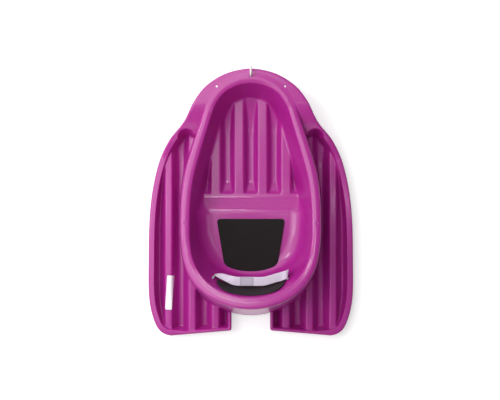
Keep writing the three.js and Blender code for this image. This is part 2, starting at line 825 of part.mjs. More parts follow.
function beltRightStations() {
  const onRun = (distance) => beltCrease.clone().addScaledVector(beltRun, distance);
  const shoulder = new THREE.Vector3(beltShoulderX, beltShoulderY, beltHeight);
  return strapStations(
    [
      { at: onRun(creasePlay), across: rearwards },
      { at: onRun(creasePlay + creaseStraight), across: rearwards },
      { at: shoulder, across: rearwards },
      flatKey(overlapRightX + webbingWidth / 4, rightLevel),
      flatKey(overlapRightX, rightLevel),
      flatKey(overlapRightX - tapeLength / 2, rightLevel),
      flatKey(overlapLeftX, rightLevel),
    ],
    3,
  );
}

function tape(level) {
  const ends = [overlapLeftX + tapeMargin, overlapRightX - tapeMargin];
  const stations = strapStations(ends.map((x) => flatKey(x, level)), 1);
  return strap(stations, webbingWidth - tapeMargin * 2, tapeThickness);
}

// Rope: a round tube along points, with straight ends
const knotLength = knotTurns * ropeDiameter;
const ropeRadius = ropeDiameter / 2;
function ropeTube(points, sides) {
  const n = points.length;
  let side = new THREE.Vector3(1, 0, 0);
  const rings = points.map((p, i) => {
    const along = points[Math.min(i + 1, n - 1)].clone().sub(points[Math.max(i - 1, 0)]).normalize();
    side = side.clone().addScaledVector(along, -side.dot(along)).normalize();
    const other = new THREE.Vector3().crossVectors(along, side);
    return Array.from({ length: sides }, (_, k) => {
      const turn = (k / sides) * Math.PI * 2;
      return p
        .clone()
        .addScaledVector(side, ropeRadius * Math.cos(turn))
        .addScaledVector(other, ropeRadius * Math.sin(turn));
    });
  });
  return loft(rings);
}

// A stopper knot: turns of rope drawn up round the rope itself, along a direction from its near end
function makeKnot(from, along) {
  const profile = [new THREE.Vector2(0, 0)];
  const core = knotRadius - ropeRadius;
  for (let turn = 0; turn < knotTurns; turn++) {
    for (let k = 0; k <= knotArcs; k++) {
      const angle = (k / knotArcs) * Math.PI;
      const r = core + ropeRadius * Math.sin(angle);
      profile.push(new THREE.Vector2(r, ropeDiameter * turn + ropeRadius * (1 - Math.cos(angle))));
    }
  }
  profile.push(new THREE.Vector2(0, knotLength));
  const lean = new THREE.Quaternion().setFromUnitVectors(new THREE.Vector3(0, 1, 0), along);
  const made = new THREE.LatheGeometry(profile, knotSides).applyQuaternion(lean);
  return solidOf(made.translate(from.x, from.y, from.z));
}

// Coil on the ground under the nose: in along the upper layer, down a layer, out along the lower one
const coilOuterRadius = coilInnerRadius + coilTurns * coilPitch;
const coilLow = tieThickness + gap + ropeRadius;
const coilHigh = coilLow + coilPitch;
const coilStart = THREE.MathUtils.degToRad(coilStartDegrees);
function coilPoint(turns) {
  const inwards = coilTurns + coilClimb / 2;
  const radius = coilOuterRadius - coilPitch * (inwards - Math.abs(inwards - turns));
  const down = THREE.MathUtils.clamp((turns - coilTurns) / coilClimb, 0, 1);
  const angle = coilStart + turns * Math.PI * 2;
  const z = THREE.MathUtils.lerp(coilHigh, coilLow, down);
  return new THREE.Vector3(radius * Math.sin(angle), coilCentreY + radius * Math.cos(angle), z);
}

const coilWhole = coilTurns * 2 + coilClimb;
const coilLine = Array.from({ length: coilWhole * coilSteps + 1 }, (_, i) => coilPoint(i / coilSteps));
function coilEnds() {
  const first = coilLine[0].clone().sub(coilLine[1]).setZ(0).normalize();
  const last = coilLine.at(-1).clone().sub(coilLine.at(-2)).setZ(0).normalize();
  const tail = coilLine.at(-1).clone().addScaledVector(last, coilTail);
  tail.z = knotRadius;
  const top = coilLine[0].clone().addScaledVector(first, ropeDiameter);
  return { top, first, tail, last: tail.clone().sub(coilLine.at(-1)).normalize() };
}

const ropeEnds = coilEnds();
function makeCoil() {
  return ropeTube([ropeEnds.top, ...coilLine, ropeEnds.tail], coilSides);
}

// The free stretch: up through the deck, over the lip, down in front of it and on to the coil
const ropeRoute = [
  [0, 363.8, 105], [0, 363.8, 109], [0, 365.2, 114.6], [0, 369.6, 119.4], [0, 375.4, 121.8],
  [0, 381.6, 121], [0, 387, 117.2], [0, 390.2, 111.4], [0, 391, 104], [0, 391, 92], [0, 391, 79],
  [0, 391, 66], [0, 391, 53], [0, 391, 41], [0.6, 391, 31.5], [2.8, 390.9, 23], [6.4, 390.4, 16.6],
];
function makeLead() {
  const arrival = ropeEnds.top.clone().addScaledVector(ropeEnds.first, gap);
  const before = arrival.clone().addScaledVector(ropeEnds.first, ropeRadius);
  const points = ropeRoute.map(([x, y, z]) => new THREE.Vector3(x, y, z));
  return ropeTube([...points, before, arrival], ropeSides);
}

// The tie round the coil's turns
function makeTie() {
  const half = tieWidth / 2;
  const angle = coilStart + tieTurnShare * Math.PI * 2;
  const inner = coilInnerRadius + coilPitch * (1 - tieTurnShare) - ropeRadius;
  const outer = inner + coilPitch * (coilTurns - 1) + ropeDiameter;
  const near = Math.sqrt(inner * inner - half * half) - gap * 3;
  const far = outer + gap * 3;
  const high = coilHigh + ropeRadius + gap;
  const loopShape = (grow) => {
    const points = [
      [near - grow, tieThickness - grow], [far + grow, tieThickness - grow],
      [far + grow, high + grow], [near - grow, high + grow],
    ];
    return points.map(([x, y]) => new THREE.Vector2(x, y));
  };
  const shape = new THREE.Shape(loopShape(tieThickness));
  shape.holes.push(new THREE.Path(loopShape(0)));
  const made = new THREE.ExtrudeGeometry(shape, { depth: tieWidth, bevelEnabled: false });
  made.translate(0, 0, -half).rotateX(Math.PI / 2);
  return solidOf(made.rotateZ(Math.PI / 2 - angle).translate(0, coilCentreY, 0));
}

// Least gap between the coil's turns, on points along its line
function leastCoilGap() {
  const points = [ropeEnds.top, ...coilLine, ropeEnds.tail];
  let least = Infinity;
  for (let i = 0; i < points.length; i++) {
    for (let j = i + coilSteps / 2; j < points.length; j++) {
      least = Math.min(least, points[i].distanceTo(points[j]) - ropeDiameter);
    }
  }
  return least;
}

const up = new THREE.Vector3(0, 0, 1);
const knotTop = new THREE.Vector3(0, ropeHoleY, noseDeckHeight - wall - gap * 2);
const endKnot = ropeEnds.tail.clone().addScaledVector(ropeEnds.last, gap);
console.log(`coil: least gap ${leastCoilGap().toFixed(2)} mm`);

const sled = new THREE.Group();
function show(name, made, colour, roughness) {
  const { vertProperties, triVerts } = made.getMesh();
  const geometry = new THREE.BufferGeometry();
  geometry.setAttribute("position", new THREE.BufferAttribute(vertProperties, 3));
  geometry.setIndex(new THREE.BufferAttribute(triVerts, 1));
  const faceted = geometry.toNonIndexed();
  faceted.computeVertexNormals();
  const material = new THREE.MeshStandardMaterial({ color: colour, roughness, metalness: 0 });
  const mesh = new THREE.Mesh(faceted, material);
  mesh.name = name;
  sled.add(mesh);
}

show("sled_shell", makeShell(), shellColour, 0.3);
show("seat_pad", makeSeatPad(), padColour, 0.9);
show("back_pad", makeBackPad(), backPadColour, 0.9);
show("belt_left", strap(beltLeftStations(), webbingWidth, webbingThickness), webbingColour, 0.8);
show("belt_right", strap(beltRightStations(), webbingWidth, webbingThickness), webbingColour, 0.8);
show("loop_tape", tape(leftLevel + tapeStep), tapeColour, 0.95);
show("hook_tape", tape(rightLevel - tapeStep), tapeColour, 0.95);
show("rope_stopper_knot", makeKnot(knotTop, up.clone().negate()), ropeColour, 0.85);
show("tow_rope", makeLead(), ropeColour, 0.85);
show("tow_rope_coil", makeCoil(), ropeColour, 0.85);
show("rope_end_knot", makeKnot(endKnot, ropeEnds.last), ropeColour, 0.85);
show("coil_tie", makeTie(), tieColour, 0.8);

export default sled;
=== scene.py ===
# Baby pull sled: the looks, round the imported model. Metres, +Z up, +Y towards the nose.
import bpy
import bmesh
import math
import numpy as np
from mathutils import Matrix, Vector
from mathutils.geometry import delaunay_2d_cdt
from mathutils.kdtree import KDTree


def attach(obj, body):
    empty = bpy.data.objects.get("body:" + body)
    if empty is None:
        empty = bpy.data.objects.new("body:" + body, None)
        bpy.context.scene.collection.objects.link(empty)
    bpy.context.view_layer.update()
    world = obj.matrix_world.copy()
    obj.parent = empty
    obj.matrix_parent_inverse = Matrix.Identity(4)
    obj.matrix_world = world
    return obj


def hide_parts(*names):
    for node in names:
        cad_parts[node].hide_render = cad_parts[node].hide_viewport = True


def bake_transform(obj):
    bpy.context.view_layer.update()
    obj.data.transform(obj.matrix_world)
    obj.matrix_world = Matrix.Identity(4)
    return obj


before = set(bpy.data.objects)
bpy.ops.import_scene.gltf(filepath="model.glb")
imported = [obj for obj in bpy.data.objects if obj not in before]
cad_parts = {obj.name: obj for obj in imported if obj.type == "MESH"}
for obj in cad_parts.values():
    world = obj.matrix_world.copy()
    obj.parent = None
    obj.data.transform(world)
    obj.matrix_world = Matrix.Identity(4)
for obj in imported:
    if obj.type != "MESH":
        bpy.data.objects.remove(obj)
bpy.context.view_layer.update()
scene = bpy.context.scene
scene.view_settings.view_transform = "Standard"
mm = 0.001


# Camera, straight above the sled
cameraSetup = {"place": (-0.0024, 0.01015, 2.8), "lens": 68.27, "sensor": 36.0, "farthest": 50.0}


def makeCamera(setup):
    data = bpy.data.cameras.new("camera")
    data.lens = setup["lens"]
    data.sensor_width = setup["sensor"]
    data.clip_end = setup["farthest"]
    camera = bpy.data.objects.new("camera", data)
    camera.location = setup["place"]
    scene.collection.objects.link(camera)
    scene.camera = camera


makeCamera(cameraSetup)
print("camera ready")


# Small helpers for lines and meshes
def unit(vectors):
    return vectors / np.linalg.norm(vectors, axis=-1, keepdims=True)


def runAlong(points):
    return np.concatenate([[0], np.cumsum(np.linalg.norm(np.diff(points, axis=0), axis=1))])


def pointsAt(want, run, points):
    return np.column_stack([np.interp(want, run, column) for column in np.transpose(points)])


def turns(count, whole=2 * math.pi):
    return np.linspace(0, whole, count + 1)[:-1]


def addPiece(name, vertices, faces, smooth=True):
    mesh = bpy.data.meshes.new(name)
    mesh.from_pydata([tuple(v) for v in vertices], [], [tuple(f) for f in faces])
    mesh.update()
    for polygon in mesh.polygons:
        polygon.use_smooth = smooth
    piece = bpy.data.objects.new(name, mesh)
    scene.collection.objects.link(piece)
    return piece


def outwards(piece):
    made = bmesh.new()
    made.from_mesh(piece.data)
    bmesh.ops.recalc_face_normals(made, faces=made.faces)
    made.to_mesh(piece.data)
    made.free()


# A closed piece from millimetres, with its faces turned outwards
def addSolid(name, vertices, faces, smooth=True):
    piece = addPiece(name, np.asarray(vertices) * mm, faces, smooth)
    outwards(piece)
    return piece


def gridFaces(rows, columns, closed=False, base=0):
    faces = []
    last = columns if closed else columns - 1
    for r in range(rows - 1):
        for c in range(last):
            d = (c + 1) % columns
            faces.append((base + r * columns + c, base + r * columns + d,
                          base + (r + 1) * columns + d, base + (r + 1) * columns + c))
    return faces


# The two end faces of a tube made of rows of points
def capFaces(rows, size, base=0):
    last = base + (rows - 1) * size
    return [tuple(range(base, base + size)), tuple(range(last, last + size))]


def writeUv(piece, values):
    layer = piece.data.uv_layers.new(name="UVMap")
    loops = np.empty(len(piece.data.loops), dtype=np.int32)
    piece.data.loops.foreach_get("vertex_index", loops)
    layer.data.foreach_set("uv", np.asarray(values, dtype=np.float32)[loops].ravel())


# A smooth curve through points, the same as the one that the plan outlines follow
def curvePoint(points, closed, t):
    n = len(points)
    place = (n if closed else n - 1) * t
    k = int(math.floor(place))
    part = place - k
    if not closed and k >= n - 1:
        k, part = n - 2, 1.0
    if closed:
        p0, p1, p2, p3 = (points[(k + i) % n] for i in (-1, 0, 1, 2))
    else:
        p1, p2 = points[k], points[k + 1]
        p0 = points[k - 1] if k > 0 else p1 * 2 - p2
        p3 = points[k + 2] if k + 2 < n else p2 * 2 - p1
    d0, d1, d2 = (max(float(np.dot(b - a, b - a)) ** 0.25, 1e-4) for a, b in ((p0, p1), (p1, p2), (p2, p3)))
    m1 = ((p1 - p0) / d0 - (p2 - p0) / (d0 + d1) + (p2 - p1) / d1) * d1
    m2 = ((p2 - p1) / d1 - (p3 - p1) / (d1 + d2) + (p3 - p2) / d2) * d1
    a, b = p1 * 2 - p2 * 2 + m1 + m2, p2 * 3 - p1 * 3 - m1 * 2 - m2
    return ((a * part + b) * part + m1) * part + p1


def curveThrough(points, closed, where):
    return np.array([curvePoint(points, closed, t) for t in where])


# A tube swept along a line of points, with a radius that can change round it and along it
def tubeAlong(name, points, radiusAt, sides, aside=(1, 0, 0)):
    along = unit(np.gradient(points, axis=0))
    run = runAlong(points)
    turn = turns(sides)
    side = np.array(aside, float)
    vertices = []
    for point, direction, distance in zip(points, along, run):
        side = unit(side - direction * side.dot(direction))
        other = np.cross(direction, side)
        radius = radiusAt(turn, distance, run[-1])[:, None]
        vertices.extend(point + radius * (np.cos(turn)[:, None] * side + np.sin(turn)[:, None] * other))
    faces = gridFaces(len(points), sides, closed=True) + capFaces(len(points), sides)
    return addSolid(name, vertices, faces)


# Tow rope, in millimetres: up through the deck, over the nose, down and into a tied coil under it
rope = {
    "diameter": 6.0, "length": 1.53, "sides": 16, "step": 1.5,
    "strands": 4, "lay": 9.0, "strandDepth": 0.34, "tipRound": 2.4, "tipShare": 0.25,
    "route": [
        (0, 363.8, 105), (0, 363.8, 109), (0, 365.2, 114.6), (0, 369.6, 119.4), (0, 375.4, 121.8),
        (0, 381.6, 121), (0, 387, 117.2), (0, 390.2, 111.4), (0, 391, 104), (0, 391, 92), (0, 391, 79),
        (0, 391, 66), (0, 391, 53), (0, 391, 41), (0.6, 391, 31.5), (2.8, 390.9, 23), (6.4, 390.4, 16.6),
    ],
    "turns": 3, "climb": 0.5, "pitch": 6.6, "outerRadius": 43.8, "high": 11.2, "low": 4.6,
    "centre": 347.0, "start": 27.0, "stepsPerTurn": 24, "tail": 20.0, "tailHeight": 8.0,
    "fineSteps": 16,
}
knot = {
    "top": (0, 363.8, 104.4), "radius": 8.0, "length": 18.0, "turns": 3, "steps": 26, "stub": 7.0,
    "bite": 1.5, "lead": 0.5, "widen": 0.3, "early": 3, "topStub": 1.0, "fineSteps": 3,
}


def coilPoint(wound):
    inwards = rope["turns"] + rope["climb"] / 2
    radius = rope["outerRadius"] - rope["pitch"] * (inwards - abs(inwards - wound))
    down = min(max((wound - rope["turns"]) / rope["climb"], 0), 1)
    angle = math.radians(rope["start"]) + wound * 2 * math.pi
    height = rope["high"] + (rope["low"] - rope["high"]) * down
    return np.array([radius * math.sin(angle), rope["centre"] + radius * math.cos(angle), height])


def ropeLine():
    count = int(round((rope["turns"] * 2 + rope["climb"]) * rope["stepsPerTurn"]))
    coil = [coilPoint(i / rope["stepsPerTurn"]) for i in range(count + 1)]
    first = unit((coil[0] - coil[1]) * (1, 1, 0))
    tail = coil[-1] + unit((coil[-1] - coil[-2]) * (1, 1, 0)) * rope["tail"]
    tail[2] = rope["tailHeight"]
    top = coil[0] + first * rope["diameter"]
    before = top + first * rope["diameter"] / 2
    points = [np.array(p, float) for p in rope["route"]] + [before, top, *coil, tail]
    fine = curveThrough(points, False, np.linspace(0, 1, len(points) * rope["fineSteps"]))
    run = runAlong(fine)
    even = np.linspace(0, run[-1], int(run[-1] / rope["step"]) + 1)
    return pointsAt(even, run, fine), tail, unit(tail - coil[-1])


# Diamonds of a braid: two sets of strands that cross, each a little proud of the grooves between them
def braidRadius(turn, distance, whole):
    strands = rope["strands"]
    wind = 2 * np.pi * distance / rope["lay"]
    proud = np.maximum(np.sin(strands * turn + wind), np.sin(strands * turn - wind))
    tip = min(distance, whole - distance) / rope["tipRound"]
    ends = math.sqrt(1 - (1 - min(tip, 1)) ** 2) * (1 - rope["tipShare"]) + rope["tipShare"]
    return (rope["diameter"] / 2 - rope["strandDepth"] * (1 - np.maximum(proud, 0))) * ends


def makeKnot(name, start, along, stub):
    along = np.array(along, float)
    side = unit(np.cross(along, (0, 0.3, 1) if abs(along[2]) < 0.9 else (1, 0, 0)))
    other = np.cross(along, side)
    core = knot["radius"] - rope["diameter"] / 2
    half = rope["diameter"] / 2
    lead, early = knot["lead"], knot["early"]
    points = [start - along * knot["bite"], start + along * lead]
    steps = knot["steps"] * knot["turns"]
    widening = knot["widen"] * knot["steps"]
    for i in range(steps + 1):
        turn = 2 * math.pi * i / knot["steps"]
        reach = core * min(1, (i + early) / widening, (steps - i + early) / widening)
        rise = half + (knot["length"] - rope["diameter"]) * i / steps
        points.append(start + along * rise + (side * math.cos(turn) + other * math.sin(turn)) * reach)
    points += [start + along * (knot["length"] - lead), start + along * (knot["length"] + stub)]
    fine = curveThrough(points, False, np.linspace(0, 1, len(points) * knot["fineSteps"]))
    piece = tubeAlong(name, fine, braidRadius, rope["sides"])
    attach(piece, "sled")
    return piece


ropePath, ropeTail, tailway = ropeLine()
towRope = tubeAlong("towRope", ropePath, braidRadius, rope["sides"])
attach(towRope, "sled")
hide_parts("tow_rope", "tow_rope_coil")
stopperKnot = makeKnot("stopperKnot", np.array(knot["top"], float), (0, 0, -1), knot["topStub"])
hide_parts("rope_stopper_knot")
endKnot = makeKnot("endKnot", ropeTail + tailway * 0.3, tailway, knot["stub"])
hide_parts("rope_end_knot")


# The section that every strap shares: flat, with rounded edges
strap = {"edge": 0.45, "edgeShare": 0.35, "cornerShare": 0.3, "sideShare": 0.7, "points": 9}


def strapSection(width, thick):
    edge = min(strap["edge"], thick * strap["edgeShare"])
    half = thick / 2
    top = [(x, half) for x in np.linspace(-width / 2 + edge, width / 2 - edge, strap["points"])]
    corner, side = width / 2 - edge * strap["cornerShare"], half * strap["sideShare"]
    right = [(corner, side), (width / 2, 0), (corner, -side)]
    return top + right + [(-x, -y) for x, y in top] + [(-x, -y) for x, y in right]


def sweepStrap(name, places, acrosses, width, thick, closed=False):
    places = np.asarray(places, float)
    if closed:
        along = unit(np.roll(places, -1, axis=0) - np.roll(places, 1, axis=0))
    else:
        along = unit(np.gradient(places, axis=0))
    section = strapSection(width, thick)
    vertices, uv = [], []
    for place, direction, across, distance in zip(places, along, acrosses, runAlong(places)):
        face = unit(np.cross(direction, across))
        for u, v in section:
            vertices.append(place + np.array(across) * u + face * v)
            uv.append((u, distance))
    count, size = len(places), len(section)
    faces = gridFaces(count, size, closed=True)
    if closed:
        last = (count - 1) * size
        faces += [(last + k, last + (k + 1) % size, (k + 1) % size, k) for k in range(size)]
    else:
        faces += capFaces(count, size)
    piece = addSolid(name, vertices, faces)
    writeUv(piece, uv)
    return piece


# The strap that ties the coil: a flat band bent round a rounded box
tie = {
    "width": 12.0, "thick": 1.3, "turn": 0.75, "innerRadius": 24.0, "gap": 0.3, "sideGaps": 3, "bend": 3.2,
    "bendSteps": 8, "points": 60,
}


def makeTie():
    half = tie["width"] / 2
    angle = math.radians(rope["start"]) + tie["turn"] * 2 * math.pi
    inner = tie["innerRadius"] + rope["pitch"] * (1 - tie["turn"]) - rope["diameter"] / 2
    outer = inner + rope["pitch"] * (rope["turns"] - 1) + rope["diameter"]
    beside = tie["gap"] * tie["sideGaps"]
    near = math.sqrt(inner * inner - half * half) - beside - tie["thick"] / 2
    far = outer + beside + tie["thick"] / 2
    low, high = tie["thick"] / 2, rope["high"] + rope["diameter"] / 2 + tie["gap"] + tie["thick"] / 2
    bend = tie["bend"]
    loop = []
    for x, z, first in ((far - bend, high - bend, 90), (far - bend, low + bend, 0),
                        (near + bend, low + bend, -90), (near + bend, high - bend, -180)):
        for turn in np.radians(np.linspace(first, first - 90, tie["bendSteps"])):
            loop.append((x + bend * math.cos(turn), z + bend * math.sin(turn)))
    fine = np.array(loop + loop[:1])
    run = runAlong(fine)
    plan = pointsAt(turns(tie["points"], run[-1]), run, fine)
    outDirection = np.array([math.sin(angle), math.cos(angle), 0])
    across = np.array([math.cos(angle), -math.sin(angle), 0])
    middle = np.array([0, rope["centre"], 0])
    places = [middle + outDirection * r + np.array([0, 0, z]) for r, z in plan]
    return sweepStrap("coilTie", places, [across] * len(places), tie["width"], tie["thick"], closed=True)


coilTie = makeTie()
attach(coilTie, "sled")
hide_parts("coil_tie")
print("rope ready", round(float(runAlong(ropePath)[-1])), "mm")


# The moulded shell. Millimetres here, as shares and sizes of the moulding
shell = {
    "length": 769.0, "width": 595.0, "wall": 3.0,
    "outlineShares": [
        (0, 1), (0.122, 0.989), (0.25, 0.959), (0.36, 0.912), (0.452, 0.854), (0.549, 0.752),
        (0.606, 0.664), (0.638, 0.62), (0.68, 0.577), (0.73, 0.536), (0.779, 0.492), (0.848, 0.405),
        (0.898, 0.312), (0.954, 0.132), (0.989, -0.09), (1, -0.42), (0.993, -0.73), (0.955, -0.865),
        (0.911, -0.942), (0.868, -0.976), (0.782, -1),
    ],
    "eggFrontShares": [
        (0, 1), (0.2, 0.987), (0.414, 0.94), (0.535, 0.885), (0.621, 0.815), (0.697, 0.712),
        (0.787, 0.585), (0.88, 0.446), (0.95, 0.32), (0.991, 0.172),
    ],
    "eggBackShares": [
        (1, 0), (0.985, 0.25), (0.925, 0.5), (0.805, 0.688), (0.6, 0.852), (0.31, 0.963), (0, 1),
    ],
    "rimInner": (172, -60, 344, -258), "rimOuter": (197.2, -50, 374, -289),
    "moundFoot": (209, -50, 376, -331.5), "tubFoot": (136, -60, 300.5, -188.6),
    "wingDeck": 46.0, "noseDeck": 108.0, "sweepStart": 120.0, "sweepEnd": 295.0,
    "rimFront": 106.5, "rimBack": 222.0, "rimRiseStart": 265.0, "rimRisePower": 1.83,
    "rimFillet": 7.0, "rimCrown": 1.2,
    "floor": 3.0, "rib": 28.0, "seat": 50.0, "stepStart": 31.0, "stepFoot": 25.0, "stepCrest": -31.0,
    "seatRun": 50.0, "troughEnd": (5.0, 12.0, 40.0), "troughRound": 13.0, "floorBlend": 6.0,
    "pitch": 68.3, "flankSlope": 0.4, "wellRibFlat": 28.0, "wellFront": (190.0, 311.0),
    "wellBack": (76.0, 25.0), "wingRidge": 40.0, "wingRidgeFlat": 20.0, "wingFront": (95.0, 205.0),
    "wingKeelRise": 13.0, "flange": 17.5, "draft": 0.18, "recessInner": 65.0, "recessBack": 9.5,
    "archX": 185.5, "archY": 189.5, "archTop": 24.7, "archSpread": 0.35, "archBlend": 9.0,
    "archBack": 3.0, "farBelow": -50.0, "frontDraft": 0.12, "sideDraft": 0.2,
    "wingBlends": (9.0, 9.0, 7.0, 7.0), "archMeets": 5.0,
    "notchHalf": 56.0, "notchCorner": 7.0, "tailRise": 15.0, "skirt": 12.0,
    "lipFillet": 5.5, "lipDepth": 12.0,
    "columns": 400, "wallRows": 15, "filletRows": 8, "moundRows": 46,
    "seatBlend": 24.0, "sideBlend": 13.0, "wellBlend": 11.0, "footBlend": 9.0,
    "deckBlend": 4.0, "blendRise": 40.0,
    "bridleHole": (97.0, 333.0, 2.8), "rimHole": (185.0, -56.0, 3.0), "ropeHole": (0.0, 363.8, 4.0),
    "pit": 0.6, "above": 20.0, "deckCut": (80.0, 130.0), "ropeCut": (90.0, 125.0),
}

# How finely the shell is fitted: counts, steps, small margins and rows at distances from an edge
fit = {
    "across": shell["pitch"] / 24, "along": 3.2, "apart": 0.75, "latticeShare": 0.55, "slack": 0.25,
    "edgeStep": 2.6, "chunk": 3000, "weld": 0.02, "eggPoints": 4001, "outlinePoints": 900,
    "edgePoints": 1200, "cornerPoints": 7, "sidePoints": 24, "lipPoints": 6, "profilePoints": 61,
    "moundPower": 1.15, "notchSpare": 2.0, "beside": 4.0, "tuckIn": 1.0,
    "rimShares": (0.2, 0.4, 0.6, 0.8, 1.0),
    "floor": (0.8, 1.8, 3.0, 4.4, 6.2, 8.6, 11.4, 14.6),
    "lip": (2.5, 5.5, 7.5, 8.8, 9.8, 10.8, 12.0, 13.4, 15.0, 16.8, 18.8, 21.5),
    "foot": (0.9, 2.0, 3.3, 4.8, 6.6, 9.0),
    "arch": (3, 7, 11, 15, 19, 22, 24.5, 27), "archTurn": (2, 179), "archStep": 6,
    "smallArch": 10, "smallArchStep": 15,
}


def smoothMin(a, b, k):
    h = np.maximum(k - np.abs(a - b), 0) / k
    return np.minimum(a, b) - h * h * k / 4


def smoothMax(a, b, k):
    return -smoothMin(-a, -b, k)


def deckAt(y):
    t = np.clip((y - shell["sweepStart"]) / (shell["sweepEnd"] - shell["sweepStart"]), 0, 1)
    return shell["wingDeck"] + (shell["noseDeck"] - shell["wingDeck"]) * t * t * (3 - 2 * t)


def rimAt(y):
    run = shell["rimRiseStart"] - shell["rimOuter"][3]
    t = np.clip((shell["rimRiseStart"] - y) / run, 0, 1)
    return shell["rimFront"] + (shell["rimBack"] - shell["rimFront"]) * t ** shell["rimRisePower"]


def eggControl(size):
    half, wide, front, back = size
    right = [(x * half, wide + y * (front - wide)) for x, y in shell["eggFrontShares"]]
    right += [(x * half, wide + y * (back - wide)) for x, y in shell["eggBackShares"]]
    return [np.array(p, float) for p in right + [(-x, y) for x, y in right[-2:0:-1]]]


def normalsOf(points):
    along = unit(np.roll(points, -1, axis=0) - np.roll(points, 1, axis=0))
    return np.stack([-along[:, 1], along[:, 0]], axis=1)


# Places along the egg curves that lie at even steps along the rim
def evenPlaces(control, columns):
    fine = np.linspace(0, 1, fit["eggPoints"])
    run = runAlong(curveThrough(control, True, fine))
    return np.interp(turns(columns, run[-1]), run, fine)


eggPlaces = evenPlaces(eggControl(shell["rimOuter"]), shell["columns"])
rings = {name: curveThrough(eggControl(shell[name]), True, eggPlaces)
         for name in ("rimInner", "rimOuter", "moundFoot", "tubFoot")}
mouthOut = normalsOf(rings["rimInner"])
rimOut = normalsOf(rings["rimOuter"])
mouthTopY = (rings["rimInner"] + mouthOut * shell["rimFillet"])[:, 1]
mouthTop = np.maximum(rimAt(mouthTopY), deckAt(mouthTopY))
rimTop = rimAt((rings["rimOuter"] - rimOut * shell["rimFillet"])[:, 1])


def tubWall(height, out=0.0):
    t = ((height - shell["floor"]) / (mouthTop - shell["floor"]))[:, None]
    return rings["tubFoot"] * (1 - t) + rings["rimInner"] * t + mouthOut * out


# Heights of the tub's floor: seat, step, foot well and its troughs
def troughAt(x, y, flat, top, front, back, rise):
    pitch = shell["pitch"]
    across = np.abs(x - np.round(x / pitch) * pitch)
    ahead = np.clip((y - front[0]) / (front[1] - front[0]), 0, None)
    behind = np.clip((back[0] - y) / (back[0] - back[1]), 0, None) if back else 0 * y
    keel = shell["floor"] + rise * np.maximum(ahead, behind) ** 2
    lowHalf = (pitch - flat) / 2 - (top - keel) * shell["flankSlope"]
    flank = keel + (across - lowHalf) / shell["flankSlope"]
    return smoothMax(keel, flank, shell["troughRound"])


def floorLevel(y):
    t = np.clip((shell["stepStart"] - y) / (shell["stepStart"] - shell["stepCrest"]), 0, 1)
    return shell["rib"] + (shell["seat"] - shell["rib"]) * t ** 3 * (t * (t * 6 - 15) + 10)


def floorAt(x, y):
    rise = shell["rib"] - shell["floor"]
    trough = troughAt(x, y, shell["wellRibFlat"], shell["rib"], shell["wellFront"], shell["wellBack"], rise)
    ahead, over, lift = shell["troughEnd"]
    past = np.clip((shell["stepFoot"] + ahead - y) / over, 0, 1) * lift
    return smoothMin(floorLevel(y), trough + past, shell["floorBlend"])


# The tail's edge runs forward from each corner to the notch
def tailAt(side):
    corner = shell["outlineShares"][-1][0] * shell["width"] / 2
    run = np.clip((corner - side) / (corner - shell["notchHalf"]), 0, 1)
    return -shell["length"] / 2 + shell["tailRise"] * run


# Heights of the deck and the wing recesses, without the mound
def wingAt(x, y):
    side = np.abs(x)
    deck = deckAt(y)
    fromEdge = nearestOn(outlineFine, np.column_stack([x, y]))[0]
    edge = deck - (fromEdge - shell["flange"]) / shell["draft"]
    radius = np.hypot(side - shell["archX"], y - shell["archY"])
    cone = deck - (shell["archTop"] - radius) / shell["archSpread"]
    front = (y - shell["archY"]) / shell["frontDraft"] + shell["floor"]
    front = np.where(y > shell["archY"] - shell["archBack"], front, shell["farBelow"])
    back = deck - (y - tailAt(side) - shell["recessBack"]) / shell["sideDraft"]
    inner = deck - (side - shell["recessInner"]) / shell["sideDraft"]
    rise = shell["wingKeelRise"]
    trough = troughAt(side, y, shell["wingRidgeFlat"], shell["wingRidge"], shell["wingFront"], None, rise)
    ridges = smoothMin(np.full(x.shape, shell["wingRidge"]), trough, shell["floorBlend"])
    recess = ridges
    for wallHeight, blend in zip((edge, front, back, inner), shell["wingBlends"]):
        recess = smoothMax(recess, wallHeight, blend)
    recess = smoothMin(recess, smoothMax(ridges, cone, shell["archBlend"]), shell["archMeets"])
    return smoothMin(deck, recess, shell["floorBlend"])


outlineRight = [(x * shell["width"] / 2, y * shell["length"] / 2) for x, y in shell["outlineShares"]]
outlineControl = [np.array(p, float) for p in outlineRight + [(-x, y) for x, y in outlineRight[:0:-1]]]
outlineFine = curveThrough(outlineControl, True, turns(fit["outlinePoints"], 1))


def inSeatAt(y):
    return np.clip((shell["stepFoot"] - y) / shell["seatRun"], 0, 1)


# How far the tub's floor rounds up into its wall: little in the foot well, much beside the seat
def floorRounding():
    more = shell["seatBlend"] - shell["wellBlend"] + shell["sideBlend"] * mouthOut[:, 0] ** 2
    return shell["wellBlend"] + more * inSeatAt(rings["rimInner"][:, 1])


